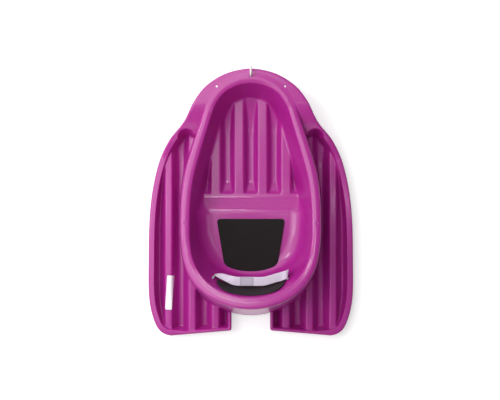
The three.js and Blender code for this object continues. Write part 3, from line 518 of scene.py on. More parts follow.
# Columns of the tub wall, the rim and the mound's wall, from the floor up and over and down
def wallRows():
    fillet = shell["rimFillet"]
    rows = []
    base = tubWall(mouthTop - fillet)
    foot = floorLevel(rings["tubFoot"][:, 1]) + floorRounding()
    bend = np.linspace(0, np.pi / 2, shell["filletRows"])
    for share in np.linspace(0, 1, shell["wallRows"]):
        height = foot + (mouthTop - fillet - foot) * share
        rows.append(np.column_stack([tubWall(height), height]))
    for turn in bend[1:]:
        plan = base + mouthOut * (fillet - fillet * np.cos(turn))
        rows.append(np.column_stack([plan, mouthTop - fillet + fillet * np.sin(turn)]))
    inner = rows[-1].copy()
    outer = np.column_stack([rings["rimOuter"] - rimOut * fillet, rimTop])
    for share in fit["rimShares"]:
        row = inner + (outer - inner) * share
        row[:, 2] += shell["rimCrown"] * 4 * share * (1 - share)
        rows.append(row)
    profile = []
    for turn in bend[-2::-1]:
        plan = rings["rimOuter"] - rimOut * (fillet - fillet * np.cos(turn))
        profile.append(np.column_stack([plan, rimTop - fillet + fillet * np.sin(turn)]))
    shoulder = profile[-1]
    ground = np.column_stack([rings["moundFoot"], np.zeros(len(rimTop))])
    for share in np.linspace(0, 1, fit["profilePoints"])[1:]:
        profile.append(shoulder + (ground - shoulder) * share)
    return rows, np.array([rows[-1], *profile]), foot


def inNotchAt(row, spare=0.0):
    return (np.abs(row[:, 0]) < shell["notchHalf"] + spare) & (row[:, 1] < 0)


# Where each column of the mound's wall meets the wing, or its lower edge in the notch
def stopMound(profile):
    foot = profile[-1]
    stop = wingAt(foot[:, 0], foot[:, 1]) + shell["footBlend"]
    stop = np.where(inNotchAt(foot, fit["notchSpare"]), shell["skirt"], stop)
    ends = np.zeros(len(stop))
    for c, target in enumerate(stop):
        heights = profile[:, c, 2]
        below = np.nonzero(heights < target)[0]
        if len(below) == 0:
            ends[c] = len(heights) - 1
        elif below[0] == 0:
            ends[c] = 0.0
        else:
            k = below[0]
            ends[c] = k - 1 + (heights[k - 1] - target) / max(heights[k - 1] - heights[k], 1e-6)
    return ends


def sampleProfile(profile, ends, rowCount):
    rows = []
    columns = np.arange(profile.shape[1])
    for share in np.linspace(0, 1, rowCount)[1:]:
        place = ends * share ** fit["moundPower"]
        k = np.clip(place.astype(int), 0, profile.shape[0] - 2)
        part = (place - k)[:, None]
        rows.append(profile[k, columns] * (1 - part) + profile[k + 1, columns] * part)
    return rows


# Plan rows of points at set distances from a line
def offsetRows(line, inwards, distances, closed):
    rows = []
    for distance in distances:
        moved = line + inwards * distance
        near = nearestOn(line, moved, closed)[0]
        rows.append(moved[near > distance - fit["slack"]])
    return rows


def nearestOn(line, points, closed=True):
    a = line if closed else line[:-1]
    b = np.roll(line, -1, axis=0) if closed else line[1:]
    best = np.empty(len(points))
    place = np.empty(len(points))
    for start in range(0, len(points), fit["chunk"]):
        part = slice(start, start + fit["chunk"])
        p = points[part, None, :]
        run = (b - a)[None]
        t = np.clip(((p - a[None]) * run).sum(2) / np.maximum((run * run).sum(2), 1e-12), 0, 1)
        gap = np.linalg.norm(p - a[None] - run * t[:, :, None], axis=2)
        k = gap.argmin(1)
        best[part] = gap[np.arange(len(k)), k]
        place[part] = k + t[np.arange(len(k)), k]
    return best, place


def insideOf(line, points):
    a, b = line, np.roll(line, -1, axis=0)
    within = np.zeros(len(points), bool)
    for start in range(0, len(points), fit["chunk"]):
        part = slice(start, start + fit["chunk"])
        p = points[part]
        high = (a[None, :, 1] > p[:, None, 1]) != (b[None, :, 1] > p[:, None, 1])
        rise = np.where(b[:, 1] == a[:, 1], 1e-12, b[:, 1] - a[:, 1])
        cross = (b[:, 0] - a[:, 0])[None] * (p[:, None, 1] - a[None, :, 1]) / rise[None] + a[None, :, 0]
        within[part] = ((high & (p[:, None, 0] < cross)).sum(1) % 2) == 1
    return within


def keepApart(fixed, points, least):
    tree = KDTree(len(fixed))
    for i, (x, y) in enumerate(fixed):
        tree.insert((x, y, 0), i)
    tree.balance()
    return points[[tree.find((x, y, 0))[2] > least for x, y in points]]


# A plan sheet inside a loop: its rows of points, a lattice between them and the faces over both
def makeChart(loop, rows):
    low, high = loop.min(0), loop.max(0)
    count = int(math.ceil(high[0] / fit["across"]))
    xs = np.arange(-count, count + 1) * fit["across"]
    free = np.array(np.meshgrid(xs, np.arange(low[1], high[1], fit["along"]))).reshape(2, -1).T
    free = free[insideOf(loop, free)]
    least = fit["latticeShare"] * min(fit["across"], fit["along"])
    free = keepApart(np.vstack([loop, *rows]), free, least)
    inner = np.vstack([*rows, free])
    inner = inner[insideOf(loop, inner)]
    everything = [Vector(p) for p in np.vstack([loop, inner])]
    count = len(loop)
    edges = [(i, (i + 1) % count) for i in range(count)]
    plan, _, faces, origins, _, _ = delaunay_2d_cdt(everything, edges, [], 1, 1e-5)
    order = [source[0] if source else -1 for source in origins]
    return np.array([tuple(p) for p in plan]), faces, np.array(order)


# The line that the wing sheet ends on: the outline, cut back at the tail's notch
def makeEdge(notchInnerY):
    half, corner = shell["notchHalf"], shell["notchCorner"]
    tail = float(tailAt(np.array(half + corner)))
    fine = curveThrough(outlineControl, True, turns(fit["edgePoints"], 1))
    keep = ~((np.abs(fine[:, 0]) < half + corner) & (fine[:, 1] < 0))
    angle = np.arctan2(fine[:, 0], -fine[:, 1])
    angle = np.where(angle < 0, angle + 2 * np.pi, angle)
    fine = fine[keep][np.argsort(angle[keep])]
    inTail = (np.abs(fine[:, 0]) < outlineRight[-1][0]) & (fine[:, 1] < 0)
    fine[inTail, 1] = tailAt(np.abs(fine[inTail, 0]))
    turn = np.linspace(0, np.pi / 2, fit["cornerPoints"])
    bend = np.column_stack([half + corner - corner * np.cos(turn), tail + corner - corner * np.sin(turn)])
    count = fit["sidePoints"]
    down = np.linspace(notchInnerY, tail + corner, count + 1)[:-1]
    first = np.vstack([np.column_stack([np.full(count, half), down]), bend])
    line = np.vstack([first, fine, first[::-1] * (-1, 1)])
    run = runAlong(line)
    line = pointsAt(np.linspace(0, run[-1], int(run[-1] / fit["edgeStep"])), run, line)
    along = unit(np.gradient(line, axis=0))
    return line, np.column_stack([along[:, 1], -along[:, 0]])


def shellRows():
    wallTop, profile, foot = wallRows()
    shoulder = shell["filletRows"] - 1
    ends = np.maximum(stopMound(profile), shoulder)
    mound = sampleProfile(profile, ends, shell["moundRows"])
    proud = np.clip((rimTop - deckAt(rings["rimOuter"][:, 1])) / shell["blendRise"], 0, 1)
    blend = shell["deckBlend"] + (shell["footBlend"] - shell["deckBlend"]) * proud
    lowest = mound[-1][:, 2].copy()
    drop = profile[shoulder] - profile[-1]
    steepness = drop[:, 2] / np.linalg.norm(drop[:, :2], axis=1)
    for row in mound:
        raised = smoothMax(row[:, 2], wingAt(row[:, 0], row[:, 1]), blend)
        row[:, 2] = np.where(inNotchAt(row), row[:, 2], raised)
    for row in wallTop[shell["wallRows"] + shoulder:]:
        row[:, 2] = smoothMax(row[:, 2], deckAt(row[:, 1]), shell["deckBlend"])
    return np.array([*wallTop, *mound]), foot, lowest, steepness, blend


def alongLoop(values, place):
    k = np.floor(place).astype(int) % len(values)
    part = place - np.floor(place)
    return values[k] * (1 - part) + np.roll(values, -1)[k] * part


def makeFloorChart(loop, foot):
    rows = offsetRows(loop, -mouthOut, fit["floor"], True)
    plan, faces, order = makeChart(loop, rows)
    distance, place = nearestOn(loop, plan)
    rise = (mouthTop - shell["floor"]) / np.linalg.norm(rings["rimInner"] - rings["tubFoot"], axis=1)
    blend = alongLoop(floorRounding(), place)
    wall = alongLoop(foot, place) - distance * alongLoop(rise, place)
    height = smoothMax(wall, floorAt(plan[:, 0], plan[:, 1]), blend)
    lean = np.arctan(1 / alongLoop(rise, place))
    radius = blend / (1 - np.sin(lean))
    reach = np.clip(radius * np.cos(lean) - distance, 0, None)
    fillet = floorLevel(plan[:, 1]) + radius - np.sqrt(np.maximum(radius ** 2 - reach ** 2, 0))
    height += np.clip(fillet - height, 0, None) * inSeatAt(plan[:, 1])
    onLoop = (order >= 0) & (order < len(loop))
    height[onLoop] = foot[order[onLoop]]
    return plan, height, faces


def archRows():
    rows = []
    for side in (-1, 1):
        for radius in fit["arch"]:
            step = fit["archStep"] if radius > fit["smallArch"] else fit["smallArchStep"]
            turn = np.radians(np.arange(*fit["archTurn"], step))
            ring = np.column_stack([np.cos(turn), np.sin(turn)]) * radius
            rows.append(ring + (side * shell["archX"], shell["archY"]))
    return rows


# The point of a ring that lies nearest to a place, on its outer side
def meetingPoint(ring, place, side):
    within = (ring[:, 0] - place[0]) * side < -0.01
    return int(np.argmin(np.linalg.norm(ring - place, axis=1) + 1e3 * within))


def makeWingChart(moundLoop, lowest, steepness, blend, edge, edgeOut):
    rim = edge - edgeOut * shell["lipFillet"]
    ring = moundLoop
    start, stop = meetingPoint(ring, rim[0], 1), meetingPoint(ring, rim[-1], -1)
    count = len(ring)
    span = [(stop + i) % count for i in range((start - stop) % count + 1)]
    loop = np.vstack([rim, ring[span]])
    rows = offsetRows(rim, -edgeOut, fit["lip"], False)
    rows += offsetRows(ring, normalsOf(ring), fit["foot"], True)
    rows = [row[insideOf(loop, row)] for row in rows]
    kept = [rows[0]]
    for row in rows[1:] + [row[insideOf(loop, row)] for row in archRows()]:
        if len(row):
            kept.append(keepApart(np.vstack([loop, *kept]), row, fit["apart"]))
    plan, faces, order = makeChart(loop, kept)
    distance, place = nearestOn(ring, plan)
    wall = alongLoop(lowest, place) - distance * alongLoop(steepness, place)
    height = smoothMax(wall, wingAt(plan[:, 0], plan[:, 1]), alongLoop(blend, place))
    return plan, height, faces, loop, order, span


def buildShell():
    rows, foot, lowest, steepness, blend = shellRows()
    floorLoop = rows[0][:, :2]
    moundLoop = rows[-1][:, :2]
    beside = np.abs(moundLoop[:, 0] - shell["notchHalf"] - shell["lipFillet"]) < fit["beside"]
    back = moundLoop[beside & (moundLoop[:, 1] < 0)]
    edge, edgeOut = makeEdge(float(back[:, 1].mean()) - fit["tuckIn"])
    vertices, faces = [], []

    def add(points, these):
        base = sum(len(part) for part in vertices)
        vertices.append(np.asarray(points, float))
        faces.extend(tuple(base + i for i in face) for face in these)

    add(rows.reshape(-1, 3), gridFaces(len(rows), shell["columns"], closed=True))
    plan, height, these = makeFloorChart(floorLoop, foot)
    add(np.column_stack([plan, height]), these)
    plan, height, these, loop, order, span = makeWingChart(
        moundLoop, lowest, steepness, blend, edge, edgeOut)
    onRing = (order >= len(edge)) & (order < len(loop))
    height[onRing] = rows[-1][np.array(span)[order[onRing] - len(edge)], 2]
    add(np.column_stack([plan, height]), these)
    deck = wingAt(*(edge - edgeOut * shell["lipFillet"]).T)
    strip = []
    for turn in np.linspace(0, np.pi / 2, fit["lipPoints"]):
        out = shell["lipFillet"] * (1 - math.sin(turn))
        fall = shell["lipFillet"] * (1 - math.cos(turn))
        strip.append(np.column_stack([edge - edgeOut * out, deck - fall]))
    step = (shell["lipDepth"] - shell["lipFillet"]) / 2
    strip += [strip[-1] - (0, 0, step), strip[-1] - (0, 0, step * 2)]
    add(np.vstack(strip), gridFaces(len(strip), len(edge)))
    piece = addPiece("sledBody", np.vstack(vertices) * mm, faces)
    made = bmesh.new()
    made.from_mesh(piece.data)
    bmesh.ops.remove_doubles(made, verts=made.verts, dist=fit["weld"] * mm)
    bmesh.ops.recalc_face_normals(made, faces=made.faces)
    highest = max(made.faces, key=lambda face: face.calc_center_median().z * (abs(face.normal.z) > 0.9))
    if highest.normal.z < 0:
        bmesh.ops.reverse_faces(made, faces=made.faces)
    made.to_mesh(piece.data)
    made.free()
    return piece


sledBody = buildShell()
print("shell sheet ready", len(sledBody.data.polygons))


# The cuts into the shell: bridle holes, shallow pits at the rim holes, the rope's hole and the two belt slots
slots = {
    "x": {1: 99.5, -1: 102.5}, "height": 141.0, "opening": 5.0, "half": 13.2, "corner": 0.35, "through": 20.0,
    "bend": 3.4, "webbing": 1.6, "reach": 12.5, "tuck": 0.2, "past": 2.6, "rear": 5.0, "start": 1.2,
}


def wallPlace(x, z, out):
    ring = tubWall(np.full(len(mouthTop), float(z)), out)
    back = ring[ring[:, 1] < shell["rimInner"][1]]
    back = back[np.argsort(back[:, 0])]
    return np.array([x, np.interp(x, back[:, 0], back[:, 1]), z])


# At a slot: its middle, and the ways rearwards along the wall, up it and out through it
def slotFrame(side):
    x, z, step, inWall = side * slots["x"][side], slots["height"], slots["reach"] * side, shell["wall"] / 2
    back = unit(wallPlace(x - step, z, inWall) - wallPlace(x + step, z, inWall))
    up = wallPlace(x, z + slots["reach"], inWall) - wallPlace(x, z - slots["reach"], inWall)
    up = unit(up - back * up.dot(back))
    ahead = slots["opening"] / 2 + (slots["bend"] - inWall - slots["webbing"] / 2) / 2
    return wallPlace(x, z, inWall) - back * ahead, back, up, np.cross(up, back) * side


def cutShell(piece):
    vertices, faces, size = [], [], 32
    circle = np.column_stack([np.cos(turns(size)), np.sin(turns(size))])

    def addPlug(pair):
        base = len(vertices)
        vertices.extend(np.vstack(pair))
        faces.extend(gridFaces(2, size, closed=True, base=base) + capFaces(2, size, base))

    rim = float(rimAt(np.array(shell["rimHole"][1])))
    cuts = {"bridleHole": shell["deckCut"], "rimHole": (rim - shell["pit"], rim + shell["above"]),
            "ropeHole": shell["ropeCut"]}
    for name, ends in cuts.items():
        x, y, radius = shell[name]
        for side in (1, -1) if x else (1,):
            plan = circle * radius + (side * x, y)
            addPlug([np.column_stack([plan, np.full(size, z)]) for z in ends])
    shape = np.sign(circle) * np.abs(circle) ** slots["corner"] * (slots["opening"] / 2, slots["half"])
    for side in (1, -1):
        middle, back, up, out = slotFrame(side)
        ring = middle + np.outer(shape[:, 0], back) + np.outer(shape[:, 1], up)
        addPlug([ring - out * slots["through"] / 2, ring + out * slots["through"] / 2])
    cutter = addSolid("cutter", vertices, faces, smooth=False)
    cut = piece.modifiers.new("holes", "BOOLEAN")
    cut.operation = "DIFFERENCE"
    cut.solver = "MANIFOLD"
    cut.object = cutter
    applyModifiers(piece)
    bpy.data.objects.remove(cutter)


def applyModifiers(piece):
    graph = bpy.context.evaluated_depsgraph_get()
    made = bpy.data.meshes.new_from_object(piece.evaluated_get(graph))
    piece.modifiers.clear()
    old = piece.data
    piece.data = made
    bpy.data.meshes.remove(old)


solid = sledBody.modifiers.new("wall", "SOLIDIFY")
solid.thickness = shell["wall"] * mm
solid.offset = -1
solid.use_even_offset = False
cutShell(sledBody)
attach(sledBody, "sled")
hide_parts("sled_shell")
print("shell cut", len(sledBody.data.polygons))


# Foam pads: a rounded sheet on the seat and another on the backrest. Millimetres
seatPad = {
    "frontHalf": 97.5, "front": -44.5, "corner": 9.0, "backHalf": 78.5, "backStart": -169.0, "back": -197.0,
    "curve": 0.62, "bottom": 50.3, "thick": 5.0, "crown": 0.6, "rounding": 2,
}
backPad = {
    "lowMiddle": 138.0, "lowSide": 155.0, "high": 199.0, "sideHalf": 96.0, "highHalf": 60.0,
    "seat": -0.3, "thick": 5.0, "crown": 0.6, "rounding": 7, "steps": 24,
}
padEdge = [(0.7, 0.0), (0.1, 0.12), (0.0, 0.3), (0.0, 0.72), (0.35, 0.9), (1.1, 0.975), (2.4, 1.0)]
padRings = (0.93, 0.82, 0.66, 0.48, 0.3, 0.14)
padUnder = (0.6, 0.25)
padPoints = 240


def bezier(points, count=14):
    points = [np.array(p, float) for p in points]
    t = np.linspace(0, 1, count + 1)[:, None]
    while len(points) > 1:
        points = [a * (1 - t) + b * t for a, b in zip(points, points[1:])]
    return points[0]


def evenLoop(points, count, rounding=0):
    closed = np.vstack([points, points[:1]])
    run = runAlong(closed)
    loop = pointsAt(turns(count, run[-1]), run, closed)
    for _ in range(rounding):
        loop = loop * 0.5 + (np.roll(loop, 1, axis=0) + np.roll(loop, -1, axis=0)) * 0.25
    return loop


def seatPadLoop():
    front, half, corner = seatPad["front"], seatPad["frontHalf"], seatPad["corner"]
    back, backHalf, start = seatPad["back"], seatPad["backHalf"], seatPad["backStart"]
    right = np.vstack([bezier(points) for points in (
        [(0, front), (half - corner, front)],
        [(half - corner, front), (half, front), (half, front - corner)],
        [(half, front - corner), (backHalf, start)],
        [(backHalf, start), (backHalf - corner, back + corner),
         (backHalf * seatPad["curve"], back), (0, back)],
    )])
    return evenLoop(np.vstack([right, right[::-1] * (-1, 1)]), padPoints, seatPad["rounding"])


def backPadLoop():
    half, highHalf, high = backPad["sideHalf"], backPad["highHalf"], backPad["high"]
    middle, low = backPad["lowMiddle"], backPad["lowSide"]
    turn = np.linspace(0, np.pi / 2, backPad["steps"])
    across = np.linspace(0, 1, backPad["steps"])
    bottom = np.column_stack([across * half, middle + (low - middle) * across ** 2])
    side = np.column_stack([highHalf + (half - highHalf) * np.cos(turn), low + (high - low) * np.sin(turn)])
    right = np.vstack([bottom, side, [(0, high)]])[::-1]
    return evenLoop(np.vstack([right, right[::-1] * (-1, 1)]), padPoints, backPad["rounding"])


def makePad(name, values, loop, place):
    outward = normalsOf(loop)
    middle = (loop.max(0) + loop.min(0)) / 2
    rows = []
    for inset, height in padEdge:
        rows.append([place(*p, height * values["thick"]) for p in loop - outward * inset])
    last = loop - outward * padEdge[-1][0]
    for share in padRings:
        crown = values["crown"] * (1 - share ** 3)
        rows.append([place(*p, values["thick"] + crown) for p in middle + (last - middle) * share])
    count = len(loop)
    faces = gridFaces(len(rows), count, closed=True)
    vertices = np.vstack([np.array(rows).reshape(-1, 3), [place(*middle, values["thick"] + values["crown"])]])
    top = (len(rows) - 1) * count
    faces += [(top + k, top + (k + 1) % count, len(vertices) - 1) for k in range(count)]
    low = np.array([place(*p, 0.0) for share in padUnder for p in middle + (loop - middle) * share])
    base = len(vertices)
    vertices = np.vstack([vertices, low, [place(*middle, 0.0)]])
    faces += [(k, (k + 1) % count, base + (k + 1) % count, base + k) for k in range(count)]
    faces += gridFaces(2, count, closed=True, base=base)
    under = base + count
    faces += [(under + k, under + (k + 1) % count, len(vertices) - 1) for k in range(count)]
    piece = addSolid(name, vertices, faces)
    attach(piece, "sled")
    return piece


seatFoam = makePad("seatPad", seatPad, seatPadLoop(),
                   lambda x, y, height: np.array([x, y, seatPad["bottom"] + height]))
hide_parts("seat_pad")
backFoam = makePad("backPad", backPad, backPadLoop(),
                   lambda x, z, height: wallPlace(x, z, backPad["seat"] - height))
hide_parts("back_pad")
print("pads ready")


# Lap belt: one length of webbing through both slots, closed in front with hook and loop. Millimetres
belt = {
    "width": 25.0, "thick": 1.6, "step": 1.6, "tiltStep": 5.0, "height": 165.0, "middle": -216.0,
    "leftLevel": 162.55, "rightLevel": 167.45, "overlap": (-31.0, 7.0), "overlapSteps": 4,
    "rearHeight": 143.0, "rearOut": 4.1, "rearReach": 92.0, "rearSteps": 17,
    "foldStart": 92.0, "foldEnd": 79.0, "hinge": (85.0, -202.2),
    "left": [
        ((-40, -215.6, 163.0), (0, -1, 0)), ((-52, -213.2, 163.2), (0, -1, 0.3)),
        ((-64, -209.2, 161.0), (0, -1, 0.8)), ((-77, -204.3, 156.0), (0, -1, 1.15)),
        ((-89, -201.4, 149.8), (0, -1, 2.2)), ((-96.5, -200.2, 144.6), (0, -0.2, 1)),
        ((-101.2, -199.6, 141.4), (0, 0, 1)),
    ],
    "right": [
        ((99.2, -200.2, 141.3), (0, 0, 1)), ((99.6, -197.0, 142.4), (0, -0.45, 1)),
        ((101.2, -195.4, 147.0), (-0.05, -1, 0.9)), ((102.8, -195.2, 153.2), (-0.12, -1, 0.5)),
        ((103.3, -195.8, 159.6), (-0.15, -1, 0.25)), ((102.2, -196.6, 164.6), (-0.15, -1, 0.05)),
        ((98.6, -197.6, 166.6), (-0.13, -1, 0)), ((92, -199.6, 166.2), (-0.06, -1, 0)),
        ((85, -202.2, 165), (0, -1, 0)), ((70, -206.2, 165.4), (0, -1, 0)), ((54, -211.0, 166.2), (0, -1, 0)),
        ((40, -214.8, 167.0), (0, -1, 0)), ((28, -216, 167.45), (0, -1, 0)),
    ],
    "tape": {"margin": 1.0, "thick": 1.2, "loop": 164.25, "hook": 165.75},
    "stitch": {"length": 2.3, "gap": 1.1, "radius": 0.33, "lift": 0.12, "half": 10.5,
               "fromLow": (2.2, 4.0), "fromHigh": (3.0, 1.2), "least": 0.06, "sides": 8,
               "shares": (-1, -0.8, -0.3, 0.3, 0.8, 1)},
}


def strapPath(keys):
    points = [np.array(at, float) for at, _ in keys]
    ways = [unit(np.array(across, float)) for _, across in keys]
    spans = len(keys) - 1
    places, acrosses = [], []
    for k in range(spans):
        reach = np.linalg.norm(points[k + 1] - points[k])
        twist = math.degrees(math.acos(min(1, max(-1, ways[k].dot(ways[k + 1])))))
        steps = max(2, math.ceil(reach / belt["step"]), math.ceil(twist / belt["tiltStep"]))
        for i in range(steps + (k == spans - 1)):
            places.append(curvePoint(points, False, (k + i / steps) / spans))
            acrosses.append(unit(ways[k] * (1 - i / steps) + ways[k + 1] * i / steps))
    return places, acrosses


def throughSlot(side):
    middle, back, up, out = slotFrame(side)
    turn = middle + back * (slots["opening"] / 2 - slots["tuck"]) + out * slots["past"]
    return [(middle, (0, 0, 1)), (turn, up), (turn + back * slots["rear"], up)]


def behindBackrest():
    keys, half = [], belt["width"] / 2
    for x in np.linspace(-belt["rearReach"], belt["rearReach"], belt["rearSteps"]):
        low, high = (wallPlace(x, belt["rearHeight"] + rise, belt["rearOut"]) for rise in (-half, half))
        keys.append(((low + high) / 2, high - low))
    return keys


def flat(x, level):
    return ((x, belt["middle"], level), (0, -1, 0))


def makeBelt():
    overlap = np.linspace(*belt["overlap"][::-1], belt["overlapSteps"])
    left = [flat(x, belt["leftLevel"]) for x in overlap]
    keys = left + belt["left"] + throughSlot(-1) + behindBackrest() + throughSlot(1)[::-1][:2]
    leftPiece = sweepStrap("beltLeft", *strapPath(keys), belt["width"], belt["thick"])
    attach(leftPiece, "sled")
    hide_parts("belt_left")
    right = [flat(x, belt["rightLevel"]) for x in overlap]
    middle, _, _, out = slotFrame(1)
    keys = [(middle + out * slots["start"], (0, 0, 1))] + belt["right"] + right
    rightPiece = sweepStrap("beltRight", *strapPath(keys), belt["width"], belt["thick"])
    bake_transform(rightPiece)
    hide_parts("belt_right")
    return leftPiece, rightPiece


def makeTape(name, node, level, body):
    low, high = belt["overlap"]
    margin = belt["tape"]["margin"]
    keys = [flat(x, level) for x in (high - margin, (low + high) / 2, low + margin)]
    piece = sweepStrap(name, *strapPath(keys), belt["width"] - margin * 2, belt["tape"]["thick"])
    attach(piece, body)
    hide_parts(node)
    return piece


# Rows of sewing on the belt's free end: small raised stitches that follow a line. Their dark thread is also a
# painted shade along the free end's edge and where the flap steps over the under strap's end.
def makeSewing():
    low, high = belt["overlap"]
    stitch = belt["stitch"]
    shares, sides = stitch["shares"], stitch["sides"]
    top = belt["rightLevel"] + belt["thick"] / 2
    first, last = low + stitch["fromLow"][0], high - stitch["fromHigh"][1]
    front, rear = belt["middle"] - stitch["half"], belt["middle"] + stitch["half"]
    across = [low + x for x in stitch["fromLow"]] + [high - x for x in stitch["fromHigh"]]
    rows = [((x, front), (x, rear)) for x in across]
    rows += [((first, y), (last, y)) for y in (front, rear)]
    vertices, faces = [], []
    for start, end in rows:
        start, end = np.array([*start, top]), np.array([*end, top])
        run = np.linalg.norm(end - start)
        way = (end - start) / run
        side = np.cross(way, (0, 0, 1))
        count = int(run / (stitch["length"] + stitch["gap"]))
        for i in range(count):
            base = len(vertices)
            middle = start + way * run * (i + 0.5) / count
            for share in shares:
                size = stitch["radius"] * math.sqrt(max(1 - share ** 2, stitch["least"]))
                lift = stitch["lift"] * (1 - share ** 2)
                for turn in turns(sides):
                    vertices.append(middle + way * share * stitch["length"] / 2
                                    + side * size * math.cos(turn)
                                    + np.array([0, 0, size * math.sin(turn) + lift]))
            faces += gridFaces(len(shares), sides, closed=True, base=base)
            faces += capFaces(len(shares), sides, base)
    piece = addSolid("beltSewing", vertices, faces)
    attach(piece, "belt_flap")
    return piece


beltLeft, beltRight = makeBelt()
loopTape = makeTape("loopTape", "loop_tape", belt["tape"]["loop"], "sled")
hookTape = makeTape("hookTape", "hook_tape", belt["tape"]["hook"], "belt_flap")
beltSewing = makeSewing()
print("belt ready")


# Blank plate on the left wing's ridge, with rounded corners. Millimetres
plate = {
    "front": (-233.4, -209.6), "back": (-240.0, -309.1), "width": 20.0, "thick": 0.5, "corner": 3.0,
    "proud": 0.2, "cornerSteps": 7, "points": 96,
    "rows": ((1.0, -1.0), (1.0, 0.8), (0.99, 1.0), (0.9, 1.0), (0.7, 1.0), (0.45, 1.0), (0.2, 1.0)),
}


def makePlate():
    front, back = np.array(plate["front"]), np.array(plate["back"])
    run = np.linalg.norm(back - front)
    way = (back - front) / run
    side = np.array([-way[1], way[0]])
    half, corner = plate["width"] / 2, plate["corner"]
    loop = []
    for u, v, first in ((half - corner, corner, 0), (corner - half, corner, -90),
                        (corner - half, run - corner, 180), (half - corner, run - corner, 90)):
        for turn in np.radians(np.linspace(first, first - 90, plate["cornerSteps"])):
            loop.append((u + corner * math.cos(turn), v + corner * math.sin(turn)))
    loop = evenLoop(np.array(loop), plate["points"])
    middle = np.array([0, run / 2])
    rows = []
    for share, lift in plate["rows"]:
        across, down = (middle + (loop - middle) * share).T
        plan = front + np.outer(across, side) + np.outer(down, way)
        height = wingAt(plan[:, 0], plan[:, 1]) + plate["proud"] + plate["thick"] * lift
        rows.append(np.column_stack([plan, height]))
    faces = gridFaces(len(rows), len(loop), closed=True) + capFaces(len(rows), len(loop))
    piece = addSolid("blankPlate", np.vstack(rows), faces)
    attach(piece, "sled")
    return piece


blankPlate = makePlate()
print("plate ready")


# Materials. Each shared effect is one node group, placed with its own values
def feed(tree, inputs, values):
    for key, value in values.items():
        if isinstance(value, bpy.types.NodeSocket):
            tree.links.new(value, inputs[key])
        else:
            inputs[key].default_value = value


def makeGroup(name, inputs, outputs, build):
    tree = bpy.data.node_groups.new(name, "ShaderNodeTree")
    for label, value in inputs.items():
        kind = "NodeSocketVector" if value is None else "NodeSocketFloat"
        socket = tree.interface.new_socket(label, in_out="INPUT", socket_type=kind)
        if value is not None:
            socket.default_value = value
    for label in outputs:
        tree.interface.new_socket(label, in_out="OUTPUT", socket_type="NodeSocketFloat")
    start, end = tree.nodes.new("NodeGroupInput"), tree.nodes.new("NodeGroupOutput")
    build(tree, start.outputs, end.inputs)
    return tree


def addNode(tree, kind, links=None, **settings):
    made = tree.nodes.new("ShaderNode" + kind)
    for key, value in settings.items():
        setattr(made, key, value)
    feed(tree, made.inputs, links or {})
    return made


def doMath(tree, kind, a, b=None, c=None):
    links = {k: v for k, v in enumerate((a, b, c)) if v is not None}
    return addNode(tree, "Math", links, operation=kind).outputs[0]


def rescale(tree, value, low, high, newLow, newHigh):
    made = addNode(tree, "MapRange", {"Value": value, "From Min": low, "From Max": high,
                                      "To Min": newLow, "To Max": newHigh})
    return made.outputs["Result"]


def addNoise(tree, vector, scale, detail=2.0, rough=0.5):
    return addNode(tree, "TexNoise", {"Vector": vector, "Scale": scale, "Detail": detail,
                                      "Roughness": rough}).outputs["Fac"]


def stretch(tree, vector, by):
    return addNode(tree, "Mapping", {"Vector": vector, "Scale": by}).outputs["Vector"]


# Moulded skin: a slow ripple, a fine orange peel and a faint change of tone
def buildSkin(tree, given, out):
    ripple = addNoise(tree, given["Vector"], given["Ripple Scale"], 1.0)
    peel = addNoise(tree, given["Vector"], given["Peel Scale"], 2.0)
    height = doMath(tree, "MULTIPLY_ADD", peel, given["Peel"], ripple)
    tone = addNoise(tree, given["Vector"], 9.0, 3.0)
    tree.links.new(height, out["Height"])
    tree.links.new(tone, out["Tone"])


# Wear: thin scratches that lie mostly one way, and rubbed patches
def buildWear(tree, given, out):
    lengthways = stretch(tree, given["Vector"], (1.0, 0.06, 1.0))
    crossways = stretch(tree, given["Vector"], (0.07, 1.0, 1.0))
    marks = []
    for vector, scale in ((lengthways, 260.0), (crossways, 210.0)):
        line = addNoise(tree, vector, scale, 2.0, 0.6)
        thin = doMath(tree, "ABSOLUTE", doMath(tree, "SUBTRACT", line, 0.5))
        marks.append(rescale(tree, thin, 0.0, 0.012, 1.0, 0.0))
    patch = rescale(tree, addNoise(tree, given["Vector"], 14.0, 4.0, 0.6), 0.5, 0.68, 0.0, 1.0)
    scratches = doMath(tree, "MULTIPLY", doMath(tree, "MAXIMUM", *marks), patch)
    tree.links.new(doMath(tree, "MULTIPLY", scratches, given["Amount"]), out["Scratches"])
    tree.links.new(doMath(tree, "MULTIPLY", patch, given["Amount"]), out["Rubbed"])


# Weave from coordinates in millimetres: ribs along the strap, each crossed by picks
def buildWeave(tree, given, out):
    parts = addNode(tree, "SeparateXYZ", {"Vector": given["Vector"]}).outputs
    u = doMath(tree, "DIVIDE", parts["X"], given["Rib"])
    v = doMath(tree, "DIVIDE", parts["Y"], given["Pick"])
    step = doMath(tree, "MULTIPLY", doMath(tree, "PINGPONG", doMath(tree, "FLOOR", u), 2.0), 0.5)
    rib = doMath(tree, "ABSOLUTE", doMath(tree, "SINE", doMath(tree, "MULTIPLY", u, math.pi)))
    wave = doMath(tree, "SINE", doMath(tree, "MULTIPLY", doMath(tree, "ADD", v, step), math.pi))
    pick = doMath(tree, "ABSOLUTE", wave)
    height = doMath(tree, "MULTIPLY", rib, doMath(tree, "MULTIPLY_ADD", pick, 0.55, 0.45))
    fuzz = addNoise(tree, given["Vector"], 1.6, 3.0)
    height = doMath(tree, "MULTIPLY_ADD", fuzz, 0.25, height)
    tree.links.new(height, out["Height"])
    tree.links.new(rescale(tree, height, 0.1, 1.0, 0.0, 1.0), out["Tone"])


